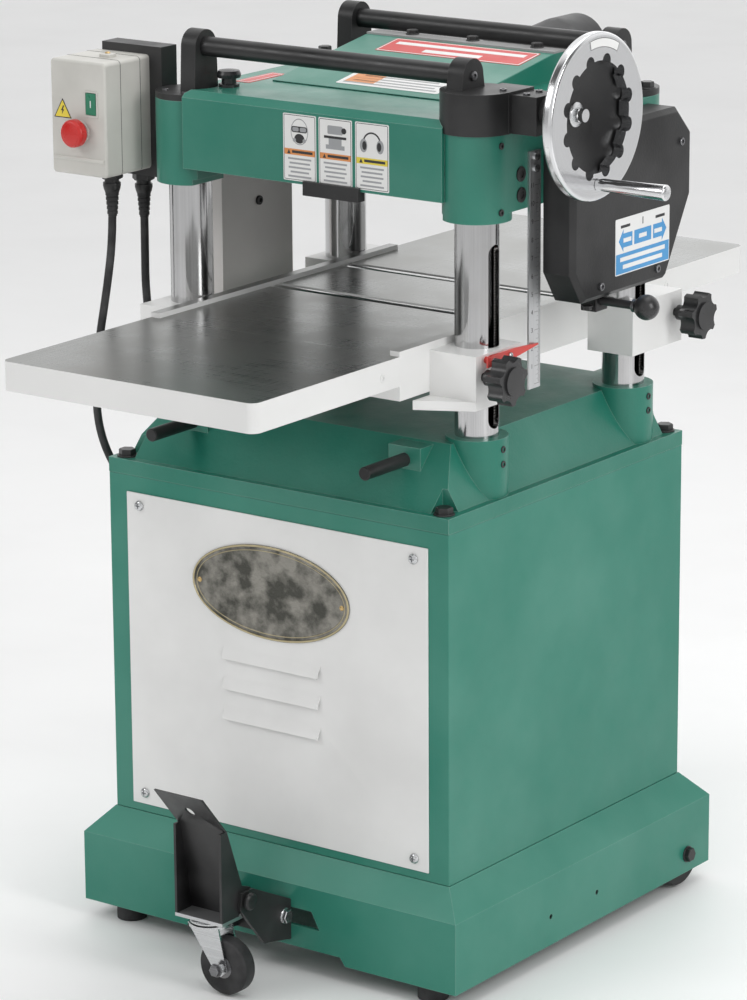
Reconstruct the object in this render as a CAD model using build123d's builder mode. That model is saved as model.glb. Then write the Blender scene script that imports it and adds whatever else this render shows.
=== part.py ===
from build123d import *

# Thickness planer on a mobile base, in millimetres.
# +X is the machine's right (handwheel and gearbox), +Y the feed direction, +Z up.
# The origin is the middle of the four feet, on the floor.

import math
import os

os.makedirs("parts", exist_ok=True)

# ---------------------------------------------------------------- driving sizes

# Mobile base
foot_height = 25.0
foot_radius = 22.0
foot_inset_x = 61.0
foot_inset_y = 33.0
plinth_margin = 35.0
skirt_height = 105.0
bevel_height = 38.0
plinth_wall = 6.0
caster_recess_width = 196.0
rear_wheel_radius = 50.0
rear_wheel_width = 20.0
rear_wheel_lift = 3.0
rear_wheel_inset = 61.0
wheel_axle_radius = 6.0

# Front caster and its foot lever
caster_wheel_radius = 41.0
caster_wheel_width = 24.0
caster_lift = 2.0
caster_trail = 30.0
caster_reach = 124.0
lever_width = 84.0
lever_sheet = 4.0
lever_height = 132.0
pivot_radius = 6.0

# Cabinet
cabinet_width = 596.0
cabinet_depth = 596.0
cabinet_height = 507.0
cabinet_sheet = 3.0
panel_width = 529.0
panel_height = 470.0
panel_sheet = 2.5
louvre_pitch = 45.0
louvre_left = -91.0
louvre_right = 79.0

# Lower casting and columns
casting_flange = 22.0
casting_height = 100.0
casting_wall = 10.0
socket_rise = 6.0
socket_radius = 44.0
column_spread = 498.0
front_column_y = -160.0
rear_column_y = 212.0
column_radius = 31.0
column_bore = 23.0
slot_width = 26.0
screw_radius = 12.0
sprocket_radius = 26.0
lifting_bar_radius = 9.5
lifting_bar_spread = 372.0
lifting_bar_reach = 107.0
lifting_bar_travel = 80.0

# Table
table_width = 432.0
main_table_length = 574.0
table_centre_y = -9.0
wing_length = 322.5
wing_thickness = 41.0
main_table_thickness = 62.0
rail_width = 16.0
rail_height = 7.0
bracket_height = 76.0
bracket_drop = 3.8
flange_plate = 13.0
low_gap = 24.0
rest_rise = 27.2
bed_roller_radius = 12.0
bed_roller_proud = 0.4
knob_radius = 34.0

# Head
cutting_width = 381.0
max_stock = 203.2
min_stock = 4.8
boss_radius = 48.0
boss_height = 121.0
head_deck_height = 138.0
head_wall = 12.0
cutter_radius = 38.0
cutter_y = 60.0
feed_roller_radius = 28.5
feed_roller_offset = 87.0
return_roller_radius = 14.0
return_roller_height = 195.0
rear_roller_drop = 7.0
cap_thickness = 9.0
gear_cap_height = 57.0
gear_cap_radius = 51.0
gearbox_depth = 50.0

# Handwheel
wheel_radius = 114.0
wheel_rim_width = 16.0
worm_offset = 33.0
handle_circle = 91.0
handle_length = 110.0
handle_radius = 11.0

# Drive
cutter_pulley_radius = 38.0
motor_pulley_radius = 52.0
motor_radius = 88.0
motor_rise = 132.0
guard_depth = 62.0
port_radius = 50.8

# Fits
running = 0.05
moving_gap = 0.5

# ---------------------------------------------------------------- derived places

half_width = cabinet_width / 2
half_depth = cabinet_depth / 2
plinth_x = half_width + plinth_margin
plinth_y = half_depth + plinth_margin
skirt_top = foot_height + skirt_height
plinth_top = skirt_top + bevel_height
casting_base = plinth_top + cabinet_height
flange_top = casting_base + casting_flange
deck_top = casting_base + casting_height
socket_top = deck_top + socket_rise
column_x = column_spread / 2
bracket_bottom = socket_top + low_gap + rest_rise
bracket_top = bracket_bottom + bracket_height
table_top = bracket_top + bracket_drop
cut_line = table_top - rest_rise + max_stock
lift_up = cut_line - min_stock - table_top
boss_bottom = bracket_top + lift_up + 4.4
boss_top = boss_bottom + boss_height
deck_z = boss_bottom + head_deck_height
side_x = column_x + boss_radius
return_z = boss_bottom + return_roller_height
gear_cap_top = boss_top + gear_cap_height
cutter_z = cut_line + cutter_radius
throat_x = (cutting_width + 43.0) / 2
table_x = table_width / 2
roller_reach = table_x - rail_width - 4.0
table_front = table_centre_y - main_table_length / 2
table_rear = table_centre_y + main_table_length / 2
infeed_y = cutter_y - feed_roller_offset
outfeed_y = cutter_y + feed_roller_offset
handwheel_y = front_column_y + worm_offset
handwheel_z = boss_top + 31.0
motor_z = plinth_top + motor_rise
column_foot = casting_base + 40.0
column_top = boss_top - 5.0

CORNERS = {
    "front_left": (-column_x, front_column_y),
    "front_right": (column_x, front_column_y),
    "rear_left": (-column_x, rear_column_y),
    "rear_right": (column_x, rear_column_y),
}


# ---------------------------------------------------------------- helpers

def block(low, high, mode=Mode.ADD):
    """Box between two opposite corners."""
    size = [high[i] - low[i] for i in range(3)]
    middle = [(high[i] + low[i]) / 2 for i in range(3)]
    with Locations(tuple(middle)):
        Box(*size, mode=mode)


def bar(start, end, radius, mode=Mode.ADD):
    """Round bar from one point to another."""
    axis = Vector(*end) - Vector(*start)
    with BuildSketch(Plane(origin=start, z_dir=axis.normalized())) as section:
        Circle(radius)
    extrude(section.sketch, amount=axis.length, mode=mode)


def shape_x(points, x0, x1, mode=Mode.ADD):
    """Outline of (y, z) points, solid from x0 to x1."""
    with BuildSketch(Plane.YZ.offset(x0)) as section:
        with BuildLine():
            Polyline(*points, close=True)
        make_face()
    extrude(section.sketch, amount=x1 - x0, mode=mode)


def shape_y(points, y0, y1, mode=Mode.ADD):
    """Outline of (x, z) points, solid from y0 to y1."""
    with BuildSketch(Plane.XZ.offset(-y0)) as section:
        with BuildLine():
            Polyline(*points, close=True)
        make_face()
    extrude(section.sketch, amount=y0 - y1, mode=mode)


def shape_z(points, z0, z1, mode=Mode.ADD):
    """Outline of (x, y) points, solid from z0 to z1."""
    with BuildSketch(Plane.XY.offset(z0)) as section:
        with BuildLine():
            Polyline(*points, close=True)
        make_face()
    extrude(section.sketch, amount=z1 - z0, mode=mode)


def lobed_disc(plane, radius, lobes, depth, thickness):
    """Grip disc with round hollows about its edge."""
    with BuildSketch(plane) as section:
        Circle(radius)
        with PolarLocations(radius + depth, lobes):
            Circle(depth * 2, mode=Mode.SUBTRACT)
    extrude(section.sketch, amount=thickness)


def save(builder, name):
    """Label a finished piece and write it."""
    builder.part.label = name
    export_step(builder.part, f"parts/{name}.step")


# ---------------------------------------------------------------- mobile base

foot_x = plinth_x - foot_inset_x
foot_y = plinth_y - foot_inset_y
inner_x = plinth_x - plinth_wall
inner_y = plinth_y - plinth_wall
wheel_y = plinth_y - rear_wheel_inset
wheel_z = rear_wheel_radius + rear_wheel_lift
wheel_outer_x = inner_x - 4.0
wheel_inner_x = wheel_outer_x - rear_wheel_width
hinge_z = skirt_top + 5.0
hinge_y = -plinth_y - 100.0
hinge_hole_z = foot_height + 56.0

with BuildPart() as plinth:
    block((-plinth_x, -plinth_y, foot_height), (plinth_x, plinth_y, skirt_top))
    with BuildSketch(Plane.XY.offset(skirt_top)):
        Rectangle(2 * plinth_x, 2 * plinth_y)
    with BuildSketch(Plane.XY.offset(plinth_top)):
        Rectangle(cabinet_width + 2, cabinet_depth + 2)
    loft()
    cavity_top = skirt_top - 2.0
    block((-inner_x, -inner_y, foot_height - 1), (inner_x, inner_y, cavity_top), Mode.SUBTRACT)
    with BuildSketch(Plane.XY.offset(cavity_top)):
        Rectangle(2 * inner_x, 2 * inner_y)
    with BuildSketch(Plane.XY.offset(plinth_top - plinth_wall)):
        Rectangle(cabinet_width - 2 * plinth_wall, cabinet_depth - 2 * plinth_wall)
    loft(mode=Mode.SUBTRACT)
    # Corner pads that the feet screw into
    for side in (-1, 1):
        for end in (-1, 1):
            pad_x = sorted((side * (foot_x - 30), side * (foot_x + foot_radius + 3)))
            pad_y = sorted((end * (foot_y - 30), end * (inner_y + 1)))
            block((pad_x[0], pad_y[0], foot_height), (pad_x[1], pad_y[1], foot_height + 6))
    # Relief in the front lower edge and the caster recess
    relief = [(-143, foot_height - 1), (-134, foot_height + 12), (134, foot_height + 12),
              (143, foot_height - 1)]
    shape_y(relief, -plinth_y - 1, -inner_y + 1, Mode.SUBTRACT)
    half_recess = caster_recess_width / 2
    recess = [(-half_recess, hinge_hole_z - 12), (half_recess, hinge_hole_z - 12),
              (half_recess - 14, hinge_hole_z + 14), (-half_recess + 14, hinge_hole_z + 14)]
    shape_y(recess, -plinth_y - 1, -inner_y + 1, Mode.SUBTRACT)
    # Rear axle stubs, one for each wheel
    for side in (-1, 1):
        bar((side * (wheel_inner_x - 12), wheel_y, wheel_z), (side * (inner_x + 1), wheel_y, wheel_z),
            wheel_axle_radius)
        hanger = sorted((side * (wheel_inner_x - 12), side * (wheel_inner_x - 6)))
        block((hanger[0], wheel_y - 14, wheel_z - 12),
              (hanger[1], wheel_y + 14, plinth_top - 2 * plinth_wall))
        block((hanger[0], wheel_y - 14, skirt_top - 8), (hanger[1], inner_y + 1, skirt_top - 2))
    # Threaded holes for the side handles
    for hole_y in (-95.0, 25.0):
        with BuildSketch(Plane.YZ.offset(inner_x - 1)):
            with Locations((hole_y, foot_height + 43)):
                Circle(4.0)
        extrude(amount=plinth_wall + 2, mode=Mode.SUBTRACT)
save(plinth, "base_plinth")

with BuildPart() as feet:
    for side in (-1, 1):
        for end in (-1, 1):
            with Locations((side * foot_x, end * foot_y, foot_height / 2)):
                Cylinder(foot_radius, foot_height)
save(feet, "levelling_feet")

for name, side in (("rear_wheel_left", -1), ("rear_wheel_right", 1)):
    with BuildPart() as rear_wheel:
        bar((side * wheel_inner_x, wheel_y, wheel_z), (side * wheel_outer_x, wheel_y, wheel_z),
            rear_wheel_radius)
        fillet(rear_wheel.edges().filter_by(GeomType.CIRCLE), 3.0)
        bar((side * (wheel_inner_x - 1), wheel_y, wheel_z), (side * (wheel_outer_x + 1), wheel_y, wheel_z),
            wheel_axle_radius + running, Mode.SUBTRACT)
    save(rear_wheel, name)

# ---------------------------------------------------------------- front caster

caster_y = -plinth_y - caster_reach
caster_axle_z = caster_wheel_radius + caster_lift
plate_bottom = caster_axle_z + 66.0
plate_top = plate_bottom + 5.0
lever_half = lever_width / 2
ear_sheet = 5.0
ear_x = lever_half + 1.0

with BuildPart() as bracket_base:
    block((-ear_x - ear_sheet, -plinth_y - ear_sheet, hinge_hole_z - 34),
          (ear_x + ear_sheet, -plinth_y, hinge_hole_z + 26))
    ear = [(-plinth_y, hinge_hole_z - 34), (-plinth_y - 62, hinge_hole_z - 22),
           (hinge_y - 16, hinge_z - 10),
           (hinge_y - 12, hinge_z + 14), (hinge_y + 14, hinge_z + 14), (-plinth_y, hinge_hole_z + 26)]
    for x0 in (-ear_x - ear_sheet, ear_x):
        shape_x(ear, x0, x0 + ear_sheet)
    bar((-ear_x - ear_sheet - 4, hinge_y, hinge_z), (ear_x + ear_sheet + 4, hinge_y, hinge_z), pivot_radius)
save(bracket_base, "hinge_bracket")

with BuildPart() as lever:
    # Channel open to the front: back web, tread flap and two side plates that reach to the pivot
    web_y = caster_y - 26.0
    back_y = web_y + 34.0
    web_top = plate_top + lever_height
    flap_top = web_top + 62.0
    web = [(back_y, plate_top), (back_y + lever_sheet, plate_top), (web_y + 10 + lever_sheet, web_top),
           (web_y - 42 + lever_sheet, flap_top), (web_y - 42, flap_top), (web_y + 10, web_top)]
    shape_x(web, -lever_half, lever_half)
    side_plate = [(web_y, plate_top), (web_y, web_top), (web_y + 14, web_top), (hinge_y - 4, hinge_z + 22),
                  (hinge_y + 15, hinge_z + 15), (hinge_y + 15, hinge_z - 12), (hinge_y - 20, plate_top)]
    for x0 in (-lever_half, lever_half - lever_sheet):
        shape_x(side_plate, x0, x0 + lever_sheet)
    block((-lever_half, web_y, plate_bottom), (lever_half, caster_y + 26, plate_top))
    bar((-lever_half - 1, hinge_y, hinge_z), (lever_half + 1, hinge_y, hinge_z), pivot_radius + running,
        Mode.SUBTRACT)
    bar((0, web_y + 10, web_top + 30), (0, web_y - 60, web_top + 30), 7.0, Mode.SUBTRACT)
    # Raceway ring and king pin of the caster
    with Locations((0, caster_y, plate_bottom - 3)):
        Cylinder(24.0, 6.0)
    with Locations((0, caster_y, plate_bottom - 11)):
        Cylinder(7.0, 14.0)
save(lever, "foot_lever")

fork_inner = caster_wheel_width / 2 + 2.0
fork_top = plate_bottom - 6.0 - moving_gap
with BuildPart() as fork:
    wheel_x = caster_trail
    with BuildSketch(Plane.XY.offset(fork_top - 5)):
        with Locations((0, caster_y)):
            Circle(30.0)
    extrude(amount=5)
    cheek = [(-27, fork_top - 2), (27, fork_top - 2), (wheel_x + 11, caster_axle_z - 4),
             (wheel_x, caster_axle_z - 13),
             (wheel_x - 11, caster_axle_z - 6)]
    for y0 in (caster_y - fork_inner - 3, caster_y + fork_inner):
        shape_y(cheek, y0, y0 + 3)
    bar((wheel_x, caster_y - fork_inner - 7, caster_axle_z),
        (wheel_x, caster_y + fork_inner + 7, caster_axle_z), 5.0)
    with Locations((0, caster_y, fork_top)):
        Cylinder(7.0 + running, 40.0, mode=Mode.SUBTRACT)
save(fork, "caster_fork")

with BuildPart() as caster_wheel:
    bar((wheel_x, caster_y - caster_wheel_width / 2, caster_axle_z),
        (wheel_x, caster_y + caster_wheel_width / 2, caster_axle_z), caster_wheel_radius)
    fillet(caster_wheel.edges().filter_by(GeomType.CIRCLE), 4.0)
    bar((wheel_x, caster_y - 30, caster_axle_z), (wheel_x, caster_y + 30, caster_axle_z), 5.0 + running,
        Mode.SUBTRACT)
save(caster_wheel, "caster_wheel")

# ---------------------------------------------------------------- cabinet

motor_shaft_radius = 12.0
belt_y = cutter_y
cabinet_opening_x = panel_width / 2 - 22
cabinet_opening_z = panel_height / 2 - 22
panel_z = plinth_top + 248.0
inlet_y = front_column_y - 34.0
inlet_top = casting_base - 147.0
inlet_z = inlet_top - 44.0
inlet_radius = 8.0

with BuildPart() as cabinet:
    block((-half_width, -half_depth, plinth_top), (half_width, half_depth, casting_base))
    inside = cabinet_sheet
    block((-half_width + inside, -half_depth + inside, plinth_top + inside),
          (half_width - inside, half_depth - inside, casting_base - inside), Mode.SUBTRACT)
    block((-half_width + 30, -half_depth + 30, casting_base - 2 * inside),
          (half_width - 30, half_depth - 30, casting_base + 1), Mode.SUBTRACT)
    block((-cabinet_opening_x, -half_depth - 1, panel_z - cabinet_opening_z),
          (cabinet_opening_x, -half_depth + inside + 1, panel_z + cabinet_opening_z), Mode.SUBTRACT)
    bar((-half_width - 1, belt_y, motor_z), (-half_width + inside + 1, belt_y, motor_z),
        motor_shaft_radius + 8,
        Mode.SUBTRACT)
    bar((-half_width - 1, inlet_y, inlet_z), (-half_width + inside + 1, inlet_y, inlet_z), inlet_radius,
        Mode.SUBTRACT)
save(cabinet, "cabinet")

with BuildPart() as panel:
    block((-panel_width / 2, -half_depth - panel_sheet, panel_z - panel_height / 2),
          (panel_width / 2, -half_depth, panel_z + panel_height / 2))
    # Three pressed louvres, each a hooded slot
    for step in range(3):
        louvre_z = panel_z + 26.0 - louvre_pitch * step
        hood = [(-half_depth - panel_sheet, louvre_z + 10), (-half_depth - panel_sheet - 8, louvre_z - 9),
                (-half_depth - panel_sheet - 6, louvre_z - 10),
                (-half_depth - panel_sheet + 1, louvre_z + 6)]
        shape_x(hood, louvre_left, louvre_right)
        block((louvre_left + 4, -half_depth - panel_sheet - 0.5, louvre_z - 9),
              (louvre_right - 4, -half_depth + 1, louvre_z - 1), Mode.SUBTRACT)
save(panel, "access_panel")

# ---------------------------------------------------------------- lower casting

flange_x = half_width
flange_y = half_depth
slope_top_x = column_x - 9.0
slope_front_y = front_column_y - 50.0
slope_rear_y = rear_column_y + 50.0
sprocket_z = casting_base + 8.0
bar_x = lifting_bar_spread / 2
bar_rise = 10.0
bar_root_z = deck_top - 22.0
bar_inner = 78.0

with BuildPart() as casting:
    block((-flange_x, -flange_y, casting_base), (flange_x, flange_y, flange_top))
    with BuildSketch(Plane.XY.offset(flange_top)):
        Rectangle(2 * flange_x - 24, 2 * flange_y - 24)
    with BuildSketch(Plane.XY.offset(deck_top)):
        with Locations((0, (slope_front_y + slope_rear_y) / 2)):
            Rectangle(2 * slope_top_x, slope_rear_y - slope_front_y)
    loft()
    for corner_x, corner_y in CORNERS.values():
        with BuildSketch(Plane.XY.offset(casting_base)):
            with Locations((corner_x, corner_y)):
                Circle(socket_radius)
        extrude(amount=socket_top - casting_base)
    # Raised pads round the lifting bars
    for side in (-1, 1):
        for pad_y in ((slope_front_y - 34, slope_front_y + 4), (slope_rear_y - 4, slope_rear_y + 34)):
            block((side * bar_x - 27, pad_y[0], flange_top), (side * bar_x + 27, pad_y[1], deck_top - 3))
    # Open corners for the bolts that hold the casting down
    for side in (-1, 1):
        pocket_x = sorted((side * (flange_x - 38), side * (flange_x + 1)))
        for pocket_y in ((-flange_y - 1, -flange_y + 40), (slope_rear_y + 1, flange_y + 1)):
            block((pocket_x[0], pocket_y[0], flange_top), (pocket_x[1], pocket_y[1], deck_top + 1),
                  Mode.SUBTRACT)
    # Hollow underside, left open for the lift chain
    hollow = casting_wall
    block((-flange_x + hollow, -flange_y + hollow, casting_base - 1),
          (flange_x - hollow, flange_y - hollow, casting_base + 18), Mode.SUBTRACT)
    with BuildSketch(Plane.XY.offset(casting_base + 17.9)):
        with Locations((0, (slope_front_y + slope_rear_y) / 2)):
            Rectangle(2 * (slope_top_x - socket_radius - 18), slope_rear_y - slope_front_y - 2 * hollow)
    with BuildSketch(Plane.XY.offset(deck_top - hollow)):
        with Locations((0, (slope_front_y + slope_rear_y) / 2)):
            Rectangle(2 * (slope_top_x - socket_radius - 26),
                      slope_rear_y - slope_front_y - 2 * hollow - 20)
    loft(mode=Mode.SUBTRACT)
    for corner_x, corner_y in CORNERS.values():
        bar((corner_x, corner_y, column_foot), (corner_x, corner_y, socket_top + 1), column_radius,
            Mode.SUBTRACT)
        bar((corner_x, corner_y, casting_base - 1), (corner_x, corner_y, column_foot + 1),
            screw_radius + running,
            Mode.SUBTRACT)
    # Lifting bar bores run level through the sloped ends
    for side in (-1, 1):
        for root_y, end in ((slope_front_y, -1), (slope_rear_y, 1)):
            bore_end = root_y - end * (bar_inner + lifting_bar_travel + 3)
            bar((side * bar_x, root_y + end * 60, bar_root_z), (side * bar_x, bore_end, bar_root_z),
                lifting_bar_radius + running, Mode.SUBTRACT)
save(casting, "lower_casting")

for name, side in (("lifting_bar_front_left", -1), ("lifting_bar_front_right", 1)):
    with BuildPart() as lifting_bar:
        bar((side * bar_x, slope_front_y - 22 - lifting_bar_reach, bar_root_z),
            (side * bar_x, slope_front_y + bar_inner, bar_root_z), lifting_bar_radius)
        chamfer(lifting_bar.edges().group_by(Axis.Y)[0], 1.5)
    save(lifting_bar, name)

# ---------------------------------------------------------------- columns and lead screws

slot_low = socket_top + 12.0
slot_high = boss_bottom - 33.0
worm_wheel_z = handwheel_z
for name, (corner_x, corner_y) in CORNERS.items():
    outward = 1 if corner_x > 0 else -1
    with BuildPart() as column:
        bar((corner_x, corner_y, column_foot), (corner_x, corner_y, column_top), column_radius)
        bar((corner_x, corner_y, column_foot - 1), (corner_x, corner_y, column_top + 1), column_bore,
            Mode.SUBTRACT)
        slot_x = corner_x + outward * (column_bore - 10)
        with BuildSketch(Plane(origin=(slot_x, corner_y, (slot_low + slot_high) / 2), x_dir=(0, 0, 1),
                               z_dir=(outward, 0, 0))):
            SlotOverall(slot_high - slot_low, slot_width)
        extrude(amount=column_radius, mode=Mode.SUBTRACT)
    save(column, f"column_{name}")

    with BuildPart() as screw:
        is_driven = name == "front_right"
        screw_end = gear_cap_top - 14.0 if is_driven else column_top - 12.0
        bar((corner_x, corner_y, casting_base + 3), (corner_x, corner_y, screw_end), screw_radius)
        bar((corner_x, corner_y, sprocket_z - 4), (corner_x, corner_y, sprocket_z + 4), sprocket_radius)
        if is_driven:
            bar((corner_x, corner_y, worm_wheel_z - 8), (corner_x, corner_y, worm_wheel_z + 8),
                worm_offset - 11)
    save(screw, f"lead_screw_{name}")

with BuildPart() as chain:
    chain_inner = sprocket_radius + moving_gap
    with BuildSketch(Plane.XY.offset(sprocket_z - 3)):
        with Locations((0, (front_column_y + rear_column_y) / 2)):
            RectangleRounded(column_spread + 2 * chain_inner + 8,
                             rear_column_y - front_column_y + 2 * chain_inner + 8,
                             chain_inner + 4)
            RectangleRounded(column_spread + 2 * chain_inner,
                             rear_column_y - front_column_y + 2 * chain_inner,
                             chain_inner, mode=Mode.SUBTRACT)
    extrude(amount=6)
save(chain, "lift_chain")

# ---------------------------------------------------------------- table

bracket_outer_x = column_x + 44.0
arm_low = bracket_bottom + 4.0
arm_high = arm_low + 30.0
lock_z = bracket_bottom + 45.0
front_lock_y = front_column_y - 48.0
rear_lock_y = rear_column_y + 70.0
bed_roller_z = table_top + bed_roller_proud - bed_roller_radius
bed_roller_half = table_x - 14.0
bracket_spans = {-1: (front_lock_y - 18.0, front_column_y + 44.0),
                 1: (rear_column_y - 44.0, rear_lock_y + 18.0)}

with BuildPart() as table:
    block((-table_x, table_front, table_top - main_table_thickness), (table_x, table_rear, table_top))
    block((-table_x + 14, table_front + 14, table_top - main_table_thickness - 1),
          (table_x - 14, table_rear - 14, table_top - 26), Mode.SUBTRACT)
    for rib_y in (table_front + 140, cutter_y, table_rear - 140):
        block((-table_x, rib_y - 6, table_top - main_table_thickness + 6),
              (table_x, rib_y + 6, table_top - 20))
    for side in (-1, 1):
        rail_x = sorted((side * (table_x - rail_width), side * table_x))
        block((rail_x[0], table_front, table_top), (rail_x[1], table_rear, table_top + rail_height))
        for end in (-1, 1):
            low_y, high_y = bracket_spans[end]
            near_x, far_x = side * table_x, side * bracket_outer_x
            block((min(near_x, far_x), low_y, bracket_bottom), (max(near_x, far_x), high_y, bracket_top))
            foot = [(near_x, low_y - 40 if end < 0 else low_y), (far_x, low_y), (far_x, high_y),
                    (near_x, high_y if end < 0 else high_y + 40)]
            shape_z(foot, bracket_bottom, bracket_bottom + flange_plate)
            # Hollow outer pockets leave a rib at each end of the bracket
            pocket_y = (low_y + 12, front_lock_y - 12) if end < 0 else (rear_lock_y + 12, high_y - 12)
            if pocket_y[1] - pocket_y[0] > 1:
                block((min(near_x, far_x) + 4, pocket_y[0], bracket_bottom + flange_plate),
                      (max(near_x, far_x) - 4, pocket_y[1], bracket_top + 1), Mode.SUBTRACT)
    for corner_x, corner_y in CORNERS.values():
        bar((corner_x, corner_y, bracket_bottom - 1), (corner_x, corner_y, table_top + rail_height + 1),
            column_radius + running, Mode.SUBTRACT)
    # A nut on each screw hangs in the column, on an arm through the slot
    for corner_x, corner_y in CORNERS.values():
        outward = 1 if corner_x > 0 else -1
        arm_end = corner_x + outward * (column_radius + 2)
        block((min(corner_x, arm_end), corner_y - 8, arm_low),
              (max(corner_x, arm_end), corner_y + 8, arm_high))
        bar((corner_x, corner_y, arm_low), (corner_x, corner_y, arm_high), column_bore - 2)
        bar((corner_x, corner_y, arm_low - 1), (corner_x, corner_y, arm_high + 1), screw_radius + running,
            Mode.SUBTRACT)
    # Beds for the two rollers
    for roller_y in (infeed_y, outfeed_y):
        block((-bed_roller_half - 1, roller_y - 14, table_top - 27),
              (bed_roller_half + 1, roller_y + 14, table_top + 1),
              Mode.SUBTRACT)
        for side in (-1, 1):
            bearing = sorted((side * (bed_roller_half - 3), side * (bed_roller_half + 1)))
            block((bearing[0], roller_y - 14, table_top - 27), (bearing[1], roller_y + 14, table_top - 2))
        bar((-bed_roller_half - 3, roller_y, bed_roller_z), (bed_roller_half + 3, roller_y, bed_roller_z),
            6.0 + running, Mode.SUBTRACT)
    # Threaded holes for the two lock screws
    for lock_y in (front_lock_y, rear_lock_y):
        bar((bracket_outer_x + 1, lock_y, lock_z), (bracket_outer_x - 24, lock_y, lock_z), 6.0 + running,
            Mode.SUBTRACT)
    for screw_y in (front_column_y - 42, front_column_y - 2):
        bar((bracket_outer_x + 1, screw_y, bracket_top - 8),
            (bracket_outer_x - 10, screw_y, bracket_top - 8), 2.5,
            Mode.SUBTRACT)
save(table, "table")

for name, end in (("infeed_wing", -1), ("outfeed_wing", 1)):
    with BuildPart() as wing:
        root_y = table_front if end < 0 else table_rear
        tip_y = root_y + end * wing_length
        with BuildSketch(Plane.XY.offset(table_top - wing_thickness)):
            with Locations((0, (root_y + tip_y) / 2)):
                Rectangle(table_width, wing_length)
        extrude(amount=wing_thickness)
        outer = wing.edges().filter_by(Axis.Z).group_by(Axis.Y)[0 if end < 0 else -1]
        fillet(outer, 14.0)
        block((-table_x + 16, min(root_y + end * 16, tip_y - end * 16), table_top - wing_thickness - 1),
              (table_x - 16, max(root_y + end * 16, tip_y - end * 16), table_top - 14), Mode.SUBTRACT)
        for rib in (1, 2):
            rib_y = root_y + end * wing_length * rib / 3
            block((-table_x + 1, rib_y - 5, table_top - wing_thickness + 4),
                  (table_x - 1, rib_y + 5, table_top - 10))
    save(wing, name)

for name, roller_y in (("bed_roller_front", infeed_y), ("bed_roller_rear", outfeed_y)):
    with BuildPart() as bed_roller:
        reach = bed_roller_half - 3 - moving_gap
        bar((-reach, roller_y, bed_roller_z), (reach, roller_y, bed_roller_z), bed_roller_radius)
        bar((-bed_roller_half - 1 + moving_gap, roller_y, bed_roller_z),
            (bed_roller_half + 1 - moving_gap, roller_y, bed_roller_z), 6.0)
    save(bed_roller, name)

for name, lock_y in (("lock_knob_front", front_lock_y), ("lock_knob_rear", rear_lock_y)):
    with BuildPart() as lock_knob:
        bar((bracket_outer_x - 22, lock_y, lock_z), (bracket_outer_x + 8, lock_y, lock_z), 6.0)
        bar((bracket_outer_x + 6, lock_y, lock_z), (bracket_outer_x + 30, lock_y, lock_z), 11.0)
        grip = Plane(origin=(bracket_outer_x + 26, lock_y, lock_z), z_dir=(1, 0, 0))
        lobed_disc(grip, knob_radius, 7, 7.0, 24.0)
        bar((bracket_outer_x + 26, lock_y, lock_z), (bracket_outer_x + 53, lock_y, lock_z), 20.0)
    save(lock_knob, name)

pointer_x = bracket_outer_x + 9.0
scale_y = front_column_y + 66.0
with BuildPart() as pointer:
    blade = [(front_column_y - 54, bracket_top - 16), (front_column_y - 54, bracket_top),
             (front_column_y + 10, bracket_top), (scale_y + 2, bracket_top - 4),
             (scale_y + 2, bracket_top - 6), (front_column_y + 10, bracket_top - 14)]
    shape_x(blade, pointer_x, pointer_x + 3)
    for screw_y in (front_column_y - 42, front_column_y - 2):
        bar((bracket_outer_x - 9, screw_y, bracket_top - 8), (pointer_x + 1, screw_y, bracket_top - 8), 2.5)
        bar((bracket_outer_x, screw_y, bracket_top - 8), (pointer_x + 1, screw_y, bracket_top - 8), 5.0)
        bar((pointer_x + 2, screw_y, bracket_top - 8), (pointer_x + 5, screw_y, bracket_top - 8), 4.5)
save(pointer, "depth_pointer")

# ---------------------------------------------------------------- head

head_front = front_column_y - 48.0
head_rear = rear_column_y + 48.0
bay_x = throat_x + head_wall
lip_z = cut_line + 22.0
worm_radius = 10.5
cutter_shaft = 15.0
roller_shaft = 10.0
feed_z = cut_line - 1.0 + feed_roller_radius
finger_y = infeed_y - 74.0
finger_z = cut_line + 62.0
finger_rod = 6.0

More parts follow.
